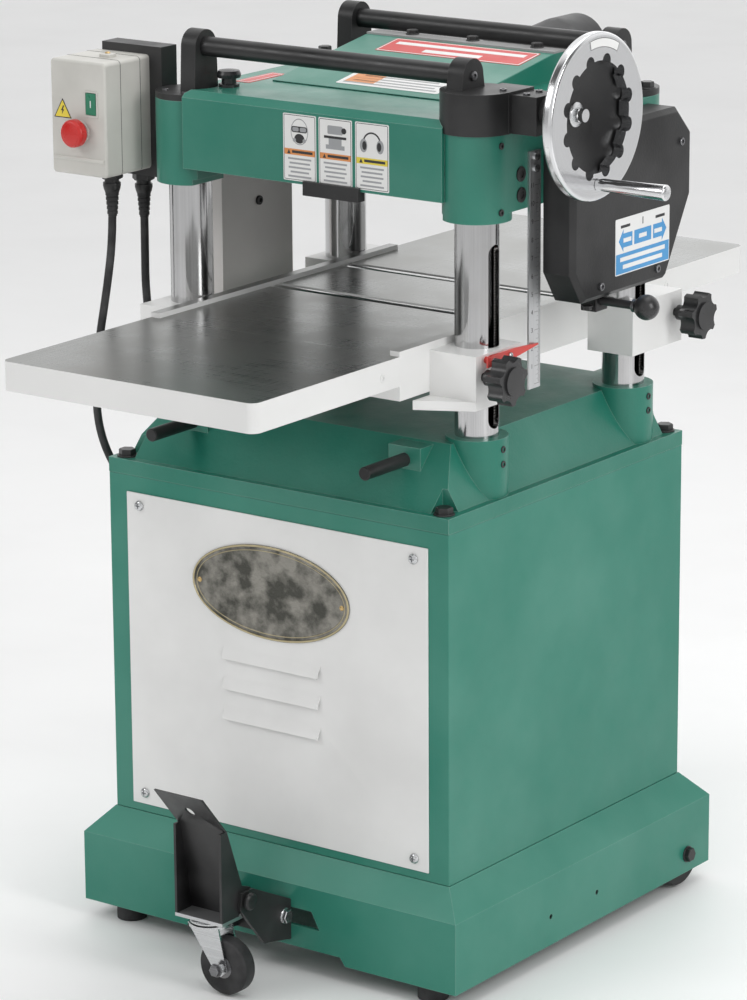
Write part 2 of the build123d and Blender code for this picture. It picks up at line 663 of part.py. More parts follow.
with BuildPart() as head:
    # Centre bay, bosses and the side boxes between them
    bay = [(head_front, lip_z), (head_front, deck_z - 10), (head_front + 12, deck_z), (head_rear, deck_z),
           (head_rear, lip_z)]
    shape_x(bay, -bay_x, bay_x)
    for side in (-1, 1):
        side_box = sorted((side * (bay_x - 2), side * side_x))
        block((side_box[0], front_column_y, boss_bottom + 12), (side_box[1], rear_column_y, boss_top))
    for corner_x, corner_y in CORNERS.values():
        bar((corner_x, corner_y, boss_bottom), (corner_x, corner_y, boss_top), boss_radius)
    block((-throat_x, head_front + head_wall, boss_bottom - 1),
          (throat_x, head_rear - head_wall, deck_z - head_wall),
          Mode.SUBTRACT)
    for side in (-1, 1):
        pocket = sorted((side * (bay_x + 2), side * (side_x - head_wall)))
        block((pocket[0], front_column_y + boss_radius + 4, boss_bottom),
              (pocket[1], rear_column_y - boss_radius - 4, boss_top - head_wall), Mode.SUBTRACT)
    # Chip mouth in the rear wall
    block((-throat_x + 30, head_rear - head_wall - 1, lip_z + 20),
          (throat_x - 30, head_rear + 1, deck_z - 24),
          Mode.SUBTRACT)
    for corner_x, corner_y in CORNERS.values():
        bar((corner_x, corner_y, boss_bottom - 1), (corner_x, corner_y, column_top), column_radius,
            Mode.SUBTRACT)
    bar((column_x, front_column_y, column_top - 1), (column_x, front_column_y, boss_top + 1),
        screw_radius + 1,
        Mode.SUBTRACT)
    # Clearance in the bosses for the table's side rails
    for side in (-1, 1):
        rail_path = sorted((side * (table_x - rail_width - 2), side * (table_x + 1)))
        block((rail_path[0], head_front, boss_bottom - 1),
              (rail_path[1], head_rear, boss_bottom + rail_height + 1),
              Mode.SUBTRACT)
    # Seats for the caps on the bosses
    for corner_x, corner_y in CORNERS.values():
        is_gear_corner = corner_x > 0 and corner_y == front_column_y
        seat = gear_cap_radius if is_gear_corner else boss_radius
        bar((corner_x, corner_y, boss_top), (corner_x, corner_y, deck_z + 1), seat + moving_gap,
            Mode.SUBTRACT)
    block((column_x - 30, front_column_y, boss_top), (bay_x + 1, handwheel_y + 28.5, deck_z + 1),
          Mode.SUBTRACT)
    # Bearing bores
    bar((-side_x - 1, cutter_y, cutter_z), (side_x + 1, cutter_y, cutter_z), cutter_shaft + running,
        Mode.SUBTRACT)
    for roller_y in (infeed_y, outfeed_y):
        bar((-bay_x - 9, roller_y, feed_z), (side_x + 1, roller_y, feed_z), roller_shaft + running,
            Mode.SUBTRACT)
    bar((-bay_x + 4, finger_y, finger_z), (bay_x - 4, finger_y, finger_z), finger_rod + running,
        Mode.SUBTRACT)
save(head, "head_casting")

cover_x = 165.0
cover_front = cutter_y - 135.0
cover_crest = cutter_y + 90.0
cover_rear = cutter_y + 120.0
cover_rise = 38.0
cover_wall = 3.0
with BuildPart() as cover:
    outline = [(cover_front, deck_z), (cover_front, deck_z + 2), (cover_crest, deck_z + cover_rise),
               (cover_rear, deck_z + cover_rise), (cover_rear, deck_z)]
    shape_x(outline, -cover_x, cover_x)
    hollow_outline = [(cover_front + 24, deck_z - 1), (cover_front + 24, deck_z + cover_wall),
                      (cover_crest, deck_z + cover_rise - cover_wall),
                      (cover_rear - cover_wall, deck_z + cover_rise - cover_wall),
                      (cover_rear - cover_wall, deck_z - 1)]
    shape_x(hollow_outline, -cover_x + cover_wall, cover_x - cover_wall, Mode.SUBTRACT)
save(cover, "top_cover")

with BuildPart() as limiter:
    block((-8.0, head_front - 6, lip_z - 14), (88.0, head_front, lip_z + 6))
    block((-8.0, head_front - 6, lip_z - 14), (88.0, head_front + 10, lip_z))
save(limiter, "depth_limiter")

with BuildPart() as cutterhead:
    knife_thickness = 3.0
    bar((-roller_reach, cutter_y, cutter_z), (roller_reach, cutter_y, cutter_z), cutter_radius - 2)
    bar((-side_x - 52, cutter_y, cutter_z), (side_x + 22, cutter_y, cutter_z), cutter_shaft)
    for knife in range(3):
        turn = 120.0 * knife + 30.0
        blade_plane = Plane(origin=(-cutting_width / 2, cutter_y, cutter_z),
                            x_dir=(0, math.cos(math.radians(turn)),
                            math.sin(math.radians(turn))), z_dir=(1, 0, 0))
        with BuildSketch(blade_plane):
            with Locations((cutter_radius - 9, 9)):
                Rectangle(11, 8)
        extrude(amount=cutting_width, mode=Mode.SUBTRACT)
        with BuildSketch(blade_plane):
            with Locations(((cutter_radius + 10) / 2, 3)):
                Rectangle(cutter_radius - 12, knife_thickness)
        extrude(amount=cutting_width)
save(cutterhead, "cutterhead")

pulley_x = -side_x - 18.0
pulley_width = 32.0
with BuildPart() as cutter_pulley:
    bar((pulley_x - pulley_width, cutter_y, cutter_z), (pulley_x, cutter_y, cutter_z), cutter_pulley_radius)
    for groove in range(2):
        groove_x = pulley_x - 9 - 14 * groove
        with BuildSketch(Plane.YZ.offset(groove_x - 4)):
            with Locations((cutter_y, cutter_z)):
                Circle(cutter_pulley_radius + 1)
                Circle(cutter_pulley_radius - 8, mode=Mode.SUBTRACT)
        extrude(amount=8, mode=Mode.SUBTRACT)
    bar((pulley_x - pulley_width - 1, cutter_y, cutter_z), (pulley_x + 1, cutter_y, cutter_z), cutter_shaft,
        Mode.SUBTRACT)
save(cutter_pulley, "cutterhead_pulley")

for name, roller_y, teeth in (("infeed_roller", infeed_y, 30), ("outfeed_roller", outfeed_y, 0)):
    with BuildPart() as feed_roller:
        bar((-roller_reach, roller_y, feed_z), (roller_reach, roller_y, feed_z), feed_roller_radius)
        if teeth:
            groove_plane = Plane(origin=(-roller_reach - 1, roller_y, feed_z), z_dir=(1, 0, 0))
            with BuildSketch(groove_plane):
                with PolarLocations(feed_roller_radius, teeth):
                    Rectangle(2.4, 2.4, rotation=45)
            extrude(amount=2 * roller_reach + 2, mode=Mode.SUBTRACT)
        bar((-bay_x - 6, roller_y, feed_z), (side_x + 24, roller_y, feed_z), roller_shaft)
        bar((side_x + 8, roller_y, feed_z), (side_x + 16, roller_y, feed_z), 30.0)
    save(feed_roller, name)

with BuildPart() as chip_breaker:
    nose_y = infeed_y + feed_roller_radius + 3.5
    nose = [(nose_y, cut_line + 4), (nose_y + 5, cut_line + 1), (nose_y + 13, cut_line + 12),
            (nose_y + 11, cut_line + 34), (nose_y + 11, cut_line + 84), (nose_y, cut_line + 84)]
    shape_x(nose, -roller_reach, roller_reach)
    block((-throat_x, nose_y, cut_line + 44), (throat_x, nose_y + 11, cut_line + 84))
save(chip_breaker, "chip_breaker")

with BuildPart() as fingers:
    bar((-throat_x - 5, finger_y, finger_z), (throat_x + 5, finger_y, finger_z), finger_rod)
    finger = [(finger_y - 11, finger_z + 10), (finger_y + 11, finger_z + 10),
              (finger_y + 12, finger_z - 12),
              (finger_y + 3, finger_z - 58), (finger_y - 3, finger_z - 58), (finger_y - 11, finger_z - 14)]
    finger_count = 20
    finger_pitch = 2 * roller_reach / finger_count
    for number in range(finger_count):
        finger_x = -roller_reach + finger_pitch * (number + 0.5)
        shape_x(finger, finger_x - 6, finger_x + 6)
save(fingers, "kickback_fingers")

# ---------------------------------------------------------------- top rollers and caps

stand_half = 13.0
stand_x = column_x - 19.0
stand_round = 24.0
rear_return_z = return_z - rear_roller_drop

with BuildPart() as stands:
    for corner_x, corner_y in CORNERS.values():
        side = 1 if corner_x > 0 else -1
        on_gear_cap = side > 0 and corner_y == front_column_y
        base_z = gear_cap_top if on_gear_cap else boss_top + cap_thickness
        axis_z = return_z if corner_y == front_column_y else rear_return_z
        x0 = side * stand_x - stand_half
        bar((x0, corner_y, axis_z), (x0 + 2 * stand_half, corner_y, axis_z), stand_round)
        cheek = [(corner_y - stand_round, axis_z), (corner_y - stand_round - 3, base_z),
                 (corner_y + stand_round + 3, base_z), (corner_y + stand_round, axis_z)]
        shape_x(cheek, x0, x0 + 2 * stand_half)
        block((x0 - 1, corner_y - 30, base_z - 40), (x0 + 2 * stand_half + 1, corner_y + 30, base_z),
              Mode.SUBTRACT)
        if not on_gear_cap:
            bar((corner_x, corner_y, boss_top), (corner_x, corner_y, base_z), boss_radius)
        inner = side * (stand_x - stand_half)
        bar((inner - side, corner_y, axis_z), (inner + side * 12, corner_y, axis_z), 6.0 + running,
            Mode.SUBTRACT)
save(stands, "roller_stands")

for name, roller_y, axis_z in (("return_roller_front", front_column_y, return_z),
                               ("return_roller_rear", rear_column_y, rear_return_z)):
    with BuildPart() as return_roller:
        reach = stand_x - stand_half - moving_gap
        bar((-reach, roller_y, axis_z), (reach, roller_y, axis_z), return_roller_radius)
        bar((-reach - 10, roller_y, axis_z), (reach + 10, roller_y, axis_z), 6.0)
    save(return_roller, name)

arm_end_x = side_x + 44.0
shaft_radius = 8.0
with BuildPart() as gear_cap:
    bar((column_x, front_column_y, boss_top), (column_x, front_column_y, gear_cap_top), gear_cap_radius)
    block((column_x, handwheel_y - 26, boss_top), (arm_end_x, handwheel_y + 28, gear_cap_top - 4))
    block((column_x, front_column_y, boss_top), (side_x + 4, handwheel_y + 28, gear_cap_top))
    bar((arm_end_x - 1, handwheel_y, handwheel_z), (arm_end_x + 14, handwheel_y, handwheel_z), 20.0)
    # Inside: the well over the column and the worm's chamber
    bar((column_x, front_column_y, boss_top - 1), (column_x, front_column_y, gear_cap_top - 8),
        worm_offset - 8,
        Mode.SUBTRACT)
    bar((column_x - 34, handwheel_y, handwheel_z), (column_x + 34, handwheel_y, handwheel_z),
        worm_radius + 3,
        Mode.SUBTRACT)
    bar((column_x, handwheel_y, handwheel_z), (arm_end_x + 15, handwheel_y, handwheel_z),
        shaft_radius + running,
        Mode.SUBTRACT)
save(gear_cap, "gear_cap")

# ---------------------------------------------------------------- handwheel

rim_x = side_x + 110.0
dish_depth = 20.0
hub_x = arm_end_x + 14.0 + moving_gap
scallops = 12
with BuildPart() as handwheel:
    hub_plane = Plane(origin=(0, handwheel_y, handwheel_z), x_dir=(0, 1, 0), z_dir=(1, 0, 0))
    with BuildSketch(hub_plane.offset(rim_x)):
        Circle(wheel_radius)
        Circle(wheel_radius - 38, mode=Mode.SUBTRACT)
        with PolarLocations(wheel_radius - 38, scallops, start_angle=360 / scallops / 2):
            Circle(10.0, mode=Mode.SUBTRACT)
    extrude(amount=wheel_rim_width)
    fillet(handwheel.edges().filter_by(GeomType.CIRCLE).filter_by(lambda e: e.radius > wheel_radius - 1),
           5.0)
    # Dished web behind the rim, with the hub at its bottom
    with BuildSketch(hub_plane.offset(rim_x - dish_depth - 6)):
        Circle(34.0)
    with BuildSketch(hub_plane.offset(rim_x)):
        Circle(wheel_radius - 14)
    loft()
    with BuildSketch(hub_plane.offset(rim_x - dish_depth)):
        Circle(30.0)
    with BuildSketch(hub_plane.offset(rim_x)):
        Circle(wheel_radius - 24)
    loft(mode=Mode.SUBTRACT)
    bar((hub_x, handwheel_y, handwheel_z), (rim_x - dish_depth - 1, handwheel_y, handwheel_z), 18.0)
    bar((rim_x - dish_depth - 2, handwheel_y, handwheel_z), (rim_x - 4, handwheel_y, handwheel_z), 9.0)
    # Shaft and worm
    bar((column_x - 20, handwheel_y, handwheel_z), (hub_x + 2, handwheel_y, handwheel_z), shaft_radius)
    bar((column_x - 20, handwheel_y, handwheel_z), (column_x + 20, handwheel_y, handwheel_z), worm_radius)
    handle_z = handwheel_z - handle_circle
    bar((rim_x + wheel_rim_width - 2, handwheel_y, handle_z),
        (rim_x + wheel_rim_width + handle_length - 6, handwheel_y, handle_z), 5.0)
save(handwheel, "handwheel")

with BuildPart() as handle:
    handle_root = rim_x + wheel_rim_width + moving_gap
    handle_tip = rim_x + wheel_rim_width + handle_length
    with BuildSketch(Plane(origin=(handle_root, handwheel_y, handle_z), x_dir=(0, 1, 0), z_dir=(1, 0, 0))):
        Circle(handle_radius - 2.5)
    with BuildSketch(Plane(origin=(handle_tip, handwheel_y, handle_z), x_dir=(0, 1, 0), z_dir=(1, 0, 0))):
        Circle(handle_radius)
    loft()
    fillet(handle.edges().group_by(Axis.X)[-1], 3.0)
    bar((handle_root - 1, handwheel_y, handle_z), (handle_tip - 5, handwheel_y, handle_z), 5.0 + running,
        Mode.SUBTRACT)
save(handle, "handwheel_handle")

# ---------------------------------------------------------------- gearbox and speed rod

box_x0 = side_x
box_x1 = side_x + gearbox_depth
box_low = feed_z - 162.0
rod_y = cutter_y - 20.0
rod_z = box_low - 12.0
rod_radius = 6.0
with BuildPart() as gearbox:
    case = [(-70, box_low + 45), (-40, box_low), (172, box_low), (236, box_low + 112), (236, box_low + 204),
            (198, box_low + 242), (-56, box_low + 242), (-70, box_low + 228)]
    shape_x(case, box_x0, box_x1)
    chamfer(gearbox.faces().sort_by(Axis.X)[-1].edges(), 7.0)
    room = [(-62, box_low + 47), (-37, box_low + 8), (168, box_low + 8), (228, box_low + 114),
            (228, box_low + 201), (195, box_low + 234), (-52, box_low + 234), (-62, box_low + 225)]
    shape_x(room, box_x0 - 1, box_x1 - 9, Mode.SUBTRACT)
    block((box_x0, rod_y - 15, rod_z - 14), (box_x0 + 26, rod_y + 15, box_low + 1))
    bar((box_x0 - 1, rod_y, rod_z), (box_x0 + 27, rod_y, rod_z), rod_radius + running, Mode.SUBTRACT)
save(gearbox, "gearbox_cover")

with BuildPart() as shift_rod:
    bar((box_x0 + 1, rod_y, rod_z), (box_x1 + 40, rod_y, rod_z), rod_radius)
    with Locations((box_x1 + 50, rod_y, rod_z)):
        Sphere(18.0)
save(shift_rod, "shift_rod")

with BuildPart() as scale:
    scale_low = table_top - 72.0
    block((side_x, scale_y - 14, scale_low), (side_x + 3, scale_y + 14, boss_top - 32))
    for screw_z in (boss_top - 40, boss_top - 56):
        bar((side_x + 3, scale_y, screw_z), (side_x + 6, scale_y, screw_z), 4.5)
save(scale, "depth_scale")

# ---------------------------------------------------------------- belt drive

guard_x1 = -half_width - 1.0
guard_x0 = guard_x1 - guard_depth
guard_low = motor_z - motor_pulley_radius - 16
guard_high = cutter_z + cutter_pulley_radius + 22
guard_half = 85.0
guard_wall = 2.5
with BuildPart() as guard:
    block((guard_x0, belt_y - guard_half, guard_low), (guard_x1, belt_y + guard_half, guard_high))
    fillet(guard.edges().filter_by(Axis.X), 24.0)
    fillet(guard.faces().sort_by(Axis.X)[0].edges(), 5.0)
    block((guard_x0 + guard_wall, belt_y - guard_half + guard_wall, guard_low + 24),
          (guard_x1 - guard_wall, belt_y + guard_half - guard_wall, guard_high - 24), Mode.SUBTRACT)
    for shaft_z, hole in ((cutter_z, cutter_shaft + 6), (motor_z, motor_shaft_radius + 8)):
        bar((guard_x1 - 10, belt_y, shaft_z), (guard_x1 + 1, belt_y, shaft_z), hole, Mode.SUBTRACT)
    for pulley_z, room in ((cutter_z, cutter_pulley_radius + 14), (motor_z, motor_pulley_radius + 12)):
        bar((guard_x0 + guard_wall, belt_y, pulley_z), (guard_x1 - guard_wall, belt_y, pulley_z), room,
            Mode.SUBTRACT)
save(guard, "belt_guard")

motor_x0 = -half_width + 62.0
motor_x1 = motor_x0 + 270.0
with BuildPart() as motor:
    bar((motor_x0, belt_y, motor_z), (motor_x1, belt_y, motor_z), motor_radius)
    block((motor_x0 + 30, belt_y - 70, plinth_top + cabinet_sheet),
          (motor_x1 - 40, belt_y + 70, plinth_top + cabinet_sheet + 12))
    block((motor_x0 + 40, belt_y - 50, plinth_top + cabinet_sheet), (motor_x1 - 50, belt_y + 50, motor_z))
    bar((motor_x0 - 1, belt_y, motor_z), (motor_x0 + 60, belt_y, motor_z), motor_shaft_radius + running,
        Mode.SUBTRACT)
save(motor, "motor")

with BuildPart() as motor_pulley:
    bar((pulley_x - pulley_width, belt_y, motor_z), (motor_x0 + 58, belt_y, motor_z), motor_shaft_radius)
    bar((pulley_x - pulley_width, belt_y, motor_z), (pulley_x, belt_y, motor_z), motor_pulley_radius)
    for groove in range(2):
        groove_x = pulley_x - 9 - 14 * groove
        with BuildSketch(Plane.YZ.offset(groove_x - 4)):
            with Locations((belt_y, motor_z)):
                Circle(motor_pulley_radius + 1)
                Circle(motor_pulley_radius - 8, mode=Mode.SUBTRACT)
        extrude(amount=8, mode=Mode.SUBTRACT)
save(motor_pulley, "motor_pulley")

# ---------------------------------------------------------------- dust hood

port_y = head_rear + 150.0
port_z = boss_bottom + 130.0
port_length = 58.0
hood_wall = 3.0
with BuildPart() as hood:
    mouth_low = lip_z + 6
    mouth_high = deck_z + 2
    for grow, mode in ((0.0, Mode.ADD), (hood_wall, Mode.SUBTRACT)):
        with BuildSketch(Plane.XZ.offset(-head_rear - 1)):
            with Locations((0, (mouth_low + mouth_high) / 2)):
                Rectangle(2 * (cover_x - grow), mouth_high - mouth_low - 2 * grow)
        with BuildSketch(Plane.XZ.offset(-port_y)):
            with Locations((0, port_z)):
                Circle(port_radius - grow)
        loft(mode=mode)
        bar((0, port_y - 0.5 * grow, port_z), (0, port_y + port_length + grow, port_z), port_radius - grow,
            mode)
    # Flange over the rear edge of the cover
    flange = [(cover_crest + 4, deck_z + cover_rise), (cover_crest + 4, deck_z + cover_rise + 3),
              (cover_rear + 3, deck_z + cover_rise + 3), (head_rear + 10, deck_z + 4),
              (head_rear + 10, deck_z - 1), (head_rear + 1, deck_z + 2),
              (cover_rear + 0.5, deck_z + cover_rise - 1), (cover_rear + 0.5, deck_z + cover_rise)]
    shape_x(flange, -cover_x, cover_x)
save(hood, "dust_hood")

# ---------------------------------------------------------------- switch

switch_x0 = -side_x - 123.0
switch_x1 = -side_x - 22.0
switch_front = front_column_y - 102.0
switch_back = front_column_y - 2.0
switch_low = boss_bottom + 9.0
switch_high = switch_low + 165.0
button_x = switch_x1 - 26.0
with BuildPart() as switch:
    block((switch_x0, switch_front, switch_low), (switch_x1, switch_back, switch_high))
    fillet(switch.edges().filter_by(Axis.Y), 6.0)
    fillet(switch.faces().sort_by(Axis.Y)[0].edges(), 4.0)
    block((switch_x0 + 14, switch_back, switch_low - 12), (-side_x, switch_back + 35, switch_high + 12))
    # Wells for the two push buttons
    block((button_x - 9.5, switch_front - 1, switch_high - 76),
          (button_x + 9.5, switch_front + 12, switch_high - 44),
          Mode.SUBTRACT)
    bar((button_x - 22, switch_front - 1, switch_high - 102),
        (button_x - 22, switch_front + 16, switch_high - 102),
        9.0 + 0.3, Mode.SUBTRACT)
save(switch, "switch_box")

with BuildPart() as start_button:
    block((button_x - 9, switch_front - 2, switch_high - 75.5),
          (button_x + 9, switch_front + 7, switch_high - 44.5))
save(start_button, "start_button")

with BuildPart() as stop_button:
    stop_z = switch_high - 102.0
    bar((button_x - 22, switch_front - 9, stop_z), (button_x - 22, switch_front + 8, stop_z), 9.0)
    bar((button_x - 22, switch_front - 22, stop_z), (button_x - 22, switch_front - 9, stop_z), 20.0)
    fillet(stop_button.edges().filter_by(GeomType.CIRCLE).group_by(Axis.Y)[0], 5.0)
save(stop_button, "stop_button")

# ---------------------------------------------------------------- cable glands

cable_radius = 6.0
gland_length = 30.0
gland_spots = ((-side_x - 55.0, switch_front + 50.0, switch_low),
               (-side_x - 51.0, switch_back + 17.0, switch_low - 12.0))
inlet_x = -half_width - 34.0

with BuildPart() as glands:
    for gland_x, gland_y, face_z in gland_spots:
        bar((gland_x, gland_y, face_z - 10), (gland_x, gland_y, face_z), 14.0)
        bar((gland_x, gland_y, face_z - gland_length), (gland_x, gland_y, face_z - 10), 10.5)
    # Terminal box on the cabinet's left wall, with a gland on its top
    block((inlet_x - 18, inlet_y - 20, inlet_top - 68), (-half_width, inlet_y + 20, inlet_top - 20))
    bar((inlet_x, inlet_y, inlet_top - 20), (inlet_x, inlet_y, inlet_top), 11.0)
save(glands, "cable_glands")


# ---------------------------------------------------------------- cords

def corner_radii(points):
    """Largest tangent radius at each corner that the shorter run allows."""
    radii = []
    for before, corner, after in zip(points, points[1:], points[2:]):
        run_in = Vector(*corner) - Vector(*before)
        run_out = Vector(*after) - Vector(*corner)
        turn = math.radians(run_in.get_angle(run_out))
        radii.append(0.45 * min(run_in.length, run_out.length) / math.tan(turn / 2))
    return radii


motor_lead_points = [
    (-352.0, -212.0, 1062.8), (-352.0, -212.0, 1000.0), (-366.0, -212.0, 918.0), (-386.0, -211.0, 830.0),
    (-395.0, -209.0, 747.0), (-388.0, -206.0, 690.0), (-362.0, -201.0, 640.0), (-332.0, -194.0, 584.0),
    (-332.0, -194.0, 528.0),
]
supply_lead_points = [
    (-348.0, -145.0, 1050.8), (-348.0, -145.0, 985.0), (-352.0, -141.0, 895.0), (-350.0, -122.0, 790.0),
    (-345.0, -100.0, 680.0), (-350.0, -82.0, 560.0), (-357.0, -73.0, 430.0), (-362.0, -67.0, 300.0),
    (-372.0, -57.0, 190.0), (-376.0, -42.0, 112.0), (-377.0, -12.0, 48.0), (-376.0, 42.0, 12.0),
    (-377.0, 112.0, 6.4), (-373.0, 208.0, 6.3), (-360.0, 306.0, 6.4), (-328.0, 386.0, 6.3),
    (-268.0, 438.0, 6.4), (-205.0, 456.0, 6.3), (-152.0, 459.0, 6.3),
]
for name, points in (("motor_lead", motor_lead_points), ("supply_lead", supply_lead_points)):
    radii = corner_radii(points)
    with BuildPart() as cord:
        with BuildLine() as route:
            FilletPolyline(*points, radius=radii)
        with BuildSketch(Plane(origin=route.line @ 0, z_dir=route.line % 0)):
            Circle(cable_radius)
        sweep()
    save(cord, name)
    length = sum(edge.length for edge in route.edges())
    area = math.pi * cable_radius**2
    print(name, "length", round(length), "radii", [round(radius) for radius in radii],
          "volume ratio", round(cord.part.volume / (area * length), 4))

coil_x = -120.0
coil_y = 525.0
coil_mid = 66.0
coil_high = 4 * cable_radius + 0.3
with BuildPart() as coil:
    with BuildSketch(Plane.XY.offset(0.3)):
        with Locations((coil_x, coil_y)):
            Circle(coil_mid + 13)
            Circle(coil_mid - 13, mode=Mode.SUBTRACT)
    extrude(amount=coil_high - 0.3)
    fillet(coil.edges().filter_by(GeomType.CIRCLE), 5.0)
save(coil, "supply_coil")

plug_z = 3 * cable_radius + 0.3
plug_y = coil_y + coil_mid
plug_end = coil_x - 46.0
with BuildPart() as plug:
    bar((plug_end - 50, plug_y, plug_z), (plug_end - 8, plug_y, plug_z), 3 * cable_radius)
    bar((plug_end - 10, plug_y, plug_z), (plug_end, plug_y, plug_z), 11.0)
    for blade_y in (-8.0, 8.0):
        block((plug_end - 68, plug_y + blade_y - 3, plug_z + 2),
              (plug_end - 48, plug_y + blade_y + 3, plug_z + 3.5))
    bar((plug_end - 71, plug_y, plug_z - 8), (plug_end - 48, plug_y, plug_z - 8), 2.4)
save(plug, "supply_plug")
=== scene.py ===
"""Thickness planer: the looks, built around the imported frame."""
import math

import bmesh
import bpy
from mathutils import Matrix, Vector


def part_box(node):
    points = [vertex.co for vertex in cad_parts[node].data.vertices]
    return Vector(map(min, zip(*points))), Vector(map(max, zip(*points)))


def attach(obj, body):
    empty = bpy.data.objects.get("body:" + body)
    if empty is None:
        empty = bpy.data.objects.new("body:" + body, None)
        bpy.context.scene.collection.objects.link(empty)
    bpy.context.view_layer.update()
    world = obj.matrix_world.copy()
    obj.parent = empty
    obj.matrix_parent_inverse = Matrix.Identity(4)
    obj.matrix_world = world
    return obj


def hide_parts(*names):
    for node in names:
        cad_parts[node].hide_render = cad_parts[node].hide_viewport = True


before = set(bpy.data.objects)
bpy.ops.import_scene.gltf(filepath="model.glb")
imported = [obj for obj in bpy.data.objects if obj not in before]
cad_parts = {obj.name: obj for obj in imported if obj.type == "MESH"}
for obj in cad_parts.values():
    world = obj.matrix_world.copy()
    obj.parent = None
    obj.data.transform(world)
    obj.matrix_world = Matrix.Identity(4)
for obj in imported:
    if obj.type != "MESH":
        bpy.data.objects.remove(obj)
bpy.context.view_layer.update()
X, Y, Z = Vector((1, 0, 0)), Vector((0, 1, 0)), Vector((0, 0, 1))


def low(node):
    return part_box(node)[0]


def high(node):
    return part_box(node)[1]


def middle(node):
    return (low(node) + high(node)) / 2


# ---------------------------------------------------------------- stage, camera, light

SENSOR_MM = 36.0
FOCAL_IN_SENSORS = 4.1723
CAMERA_PLACE = (3.4276, -4.7530, 2.2145)
CAMERA_RIGHT = Vector((0.8084, 0.5886, -0.0062))
CAMERA_UP = Vector((-0.1505, 0.2168, 0.9645))


def make_camera():
    data = bpy.data.cameras.new("camera")
    data.sensor_width = SENSOR_MM
    data.lens = FOCAL_IN_SENSORS * SENSOR_MM
    data.clip_end = 100.0
    camera = bpy.data.objects.new("camera", data)
    bpy.context.collection.objects.link(camera)
    turn = Matrix((CAMERA_RIGHT, CAMERA_UP, CAMERA_RIGHT.cross(CAMERA_UP))).transposed()
    camera.matrix_world = Matrix.Translation(CAMERA_PLACE) @ turn.to_4x4()
    bpy.context.scene.camera = camera


# name, place, height that it aims at on the machine's axis, size, power
LIGHTS = (
    ("key_light", (-2.4, -3.2, 3.2), 0.7, (1.6, 1.6), 38.0),
    ("right_light", (3.6, -0.6, 2.4), 0.8, (1.2, 2.2), 52.0),
    ("top_light", (0.3, 0.4, 3.6), 0.9, (2.4, 2.0), 24.0),
    ("rear_light", (-1.0, 3.4, 2.2), 0.9, (2.4, 1.6), 6.0),
)


def make_light(name, place, aim_height, size, power):
    data = bpy.data.lights.new(name, "AREA")
    data.shape = "RECTANGLE"
    data.size, data.size_y = size
    data.energy = power
    lamp = bpy.data.objects.new(name, data)
    bpy.context.collection.objects.link(lamp)
    lamp.location = place
    aim = Vector((0.0, 0.0, aim_height)) - Vector(place)
    lamp.rotation_euler = aim.to_track_quat("-Z", "Y").to_euler()


# share of a turn round the horizon, brightness there
HORIZON = ((0.0, 0.95), (0.05, 0.10), (0.14, 0.08), (0.18, 0.90), (0.28, 0.72), (0.36, 0.85), (0.45, 0.80),
           (0.50, 0.07), (0.59, 0.10), (0.64, 1.08), (0.80, 1.08), (0.94, 1.08), (1.0, 0.95))


def make_world():
    """White studio with two dark stretches of horizon, so that steel shows bands."""
    world = bpy.data.worlds.new("studio")
    bpy.context.scene.world = world
    world.use_nodes = True
    nodes, links = world.node_tree.nodes, world.node_tree.links
    sky = nodes["Background"]
    direction = nodes.new("ShaderNodeTexCoord").outputs["Generated"]
    parts = nodes.new("ShaderNodeSeparateXYZ")
    links.new(direction, parts.inputs[0])
    side = nodes.new("ShaderNodeMath")
    side.operation = "ARCTAN2"
    links.new(parts.outputs["Y"], side.inputs[0])
    links.new(parts.outputs["X"], side.inputs[1])
    ramp = nodes.new("ShaderNodeValToRGB")
    share = nodes.new("ShaderNodeMapRange")
    links.new(side.outputs[0], share.inputs["Value"])
    share.inputs["From Min"].default_value = -math.pi
    share.inputs["From Max"].default_value = math.pi
    links.new(share.outputs["Result"], ramp.inputs["Fac"])
    elements = ramp.color_ramp.elements
    while len(elements) < len(HORIZON):
        elements.new(0.5)
    for element, (place, value) in zip(elements, HORIZON):
        element.position = place
        element.color = (value, value, value, 1.0)
    links.new(ramp.outputs["Color"], sky.inputs["Color"])
    sky.inputs["Strength"].default_value = 1.0


bpy.context.scene.view_settings.view_transform = "Standard"
make_camera()
make_world()
for light in LIGHTS:
    make_light(*light)

# ---------------------------------------------------------------- materials


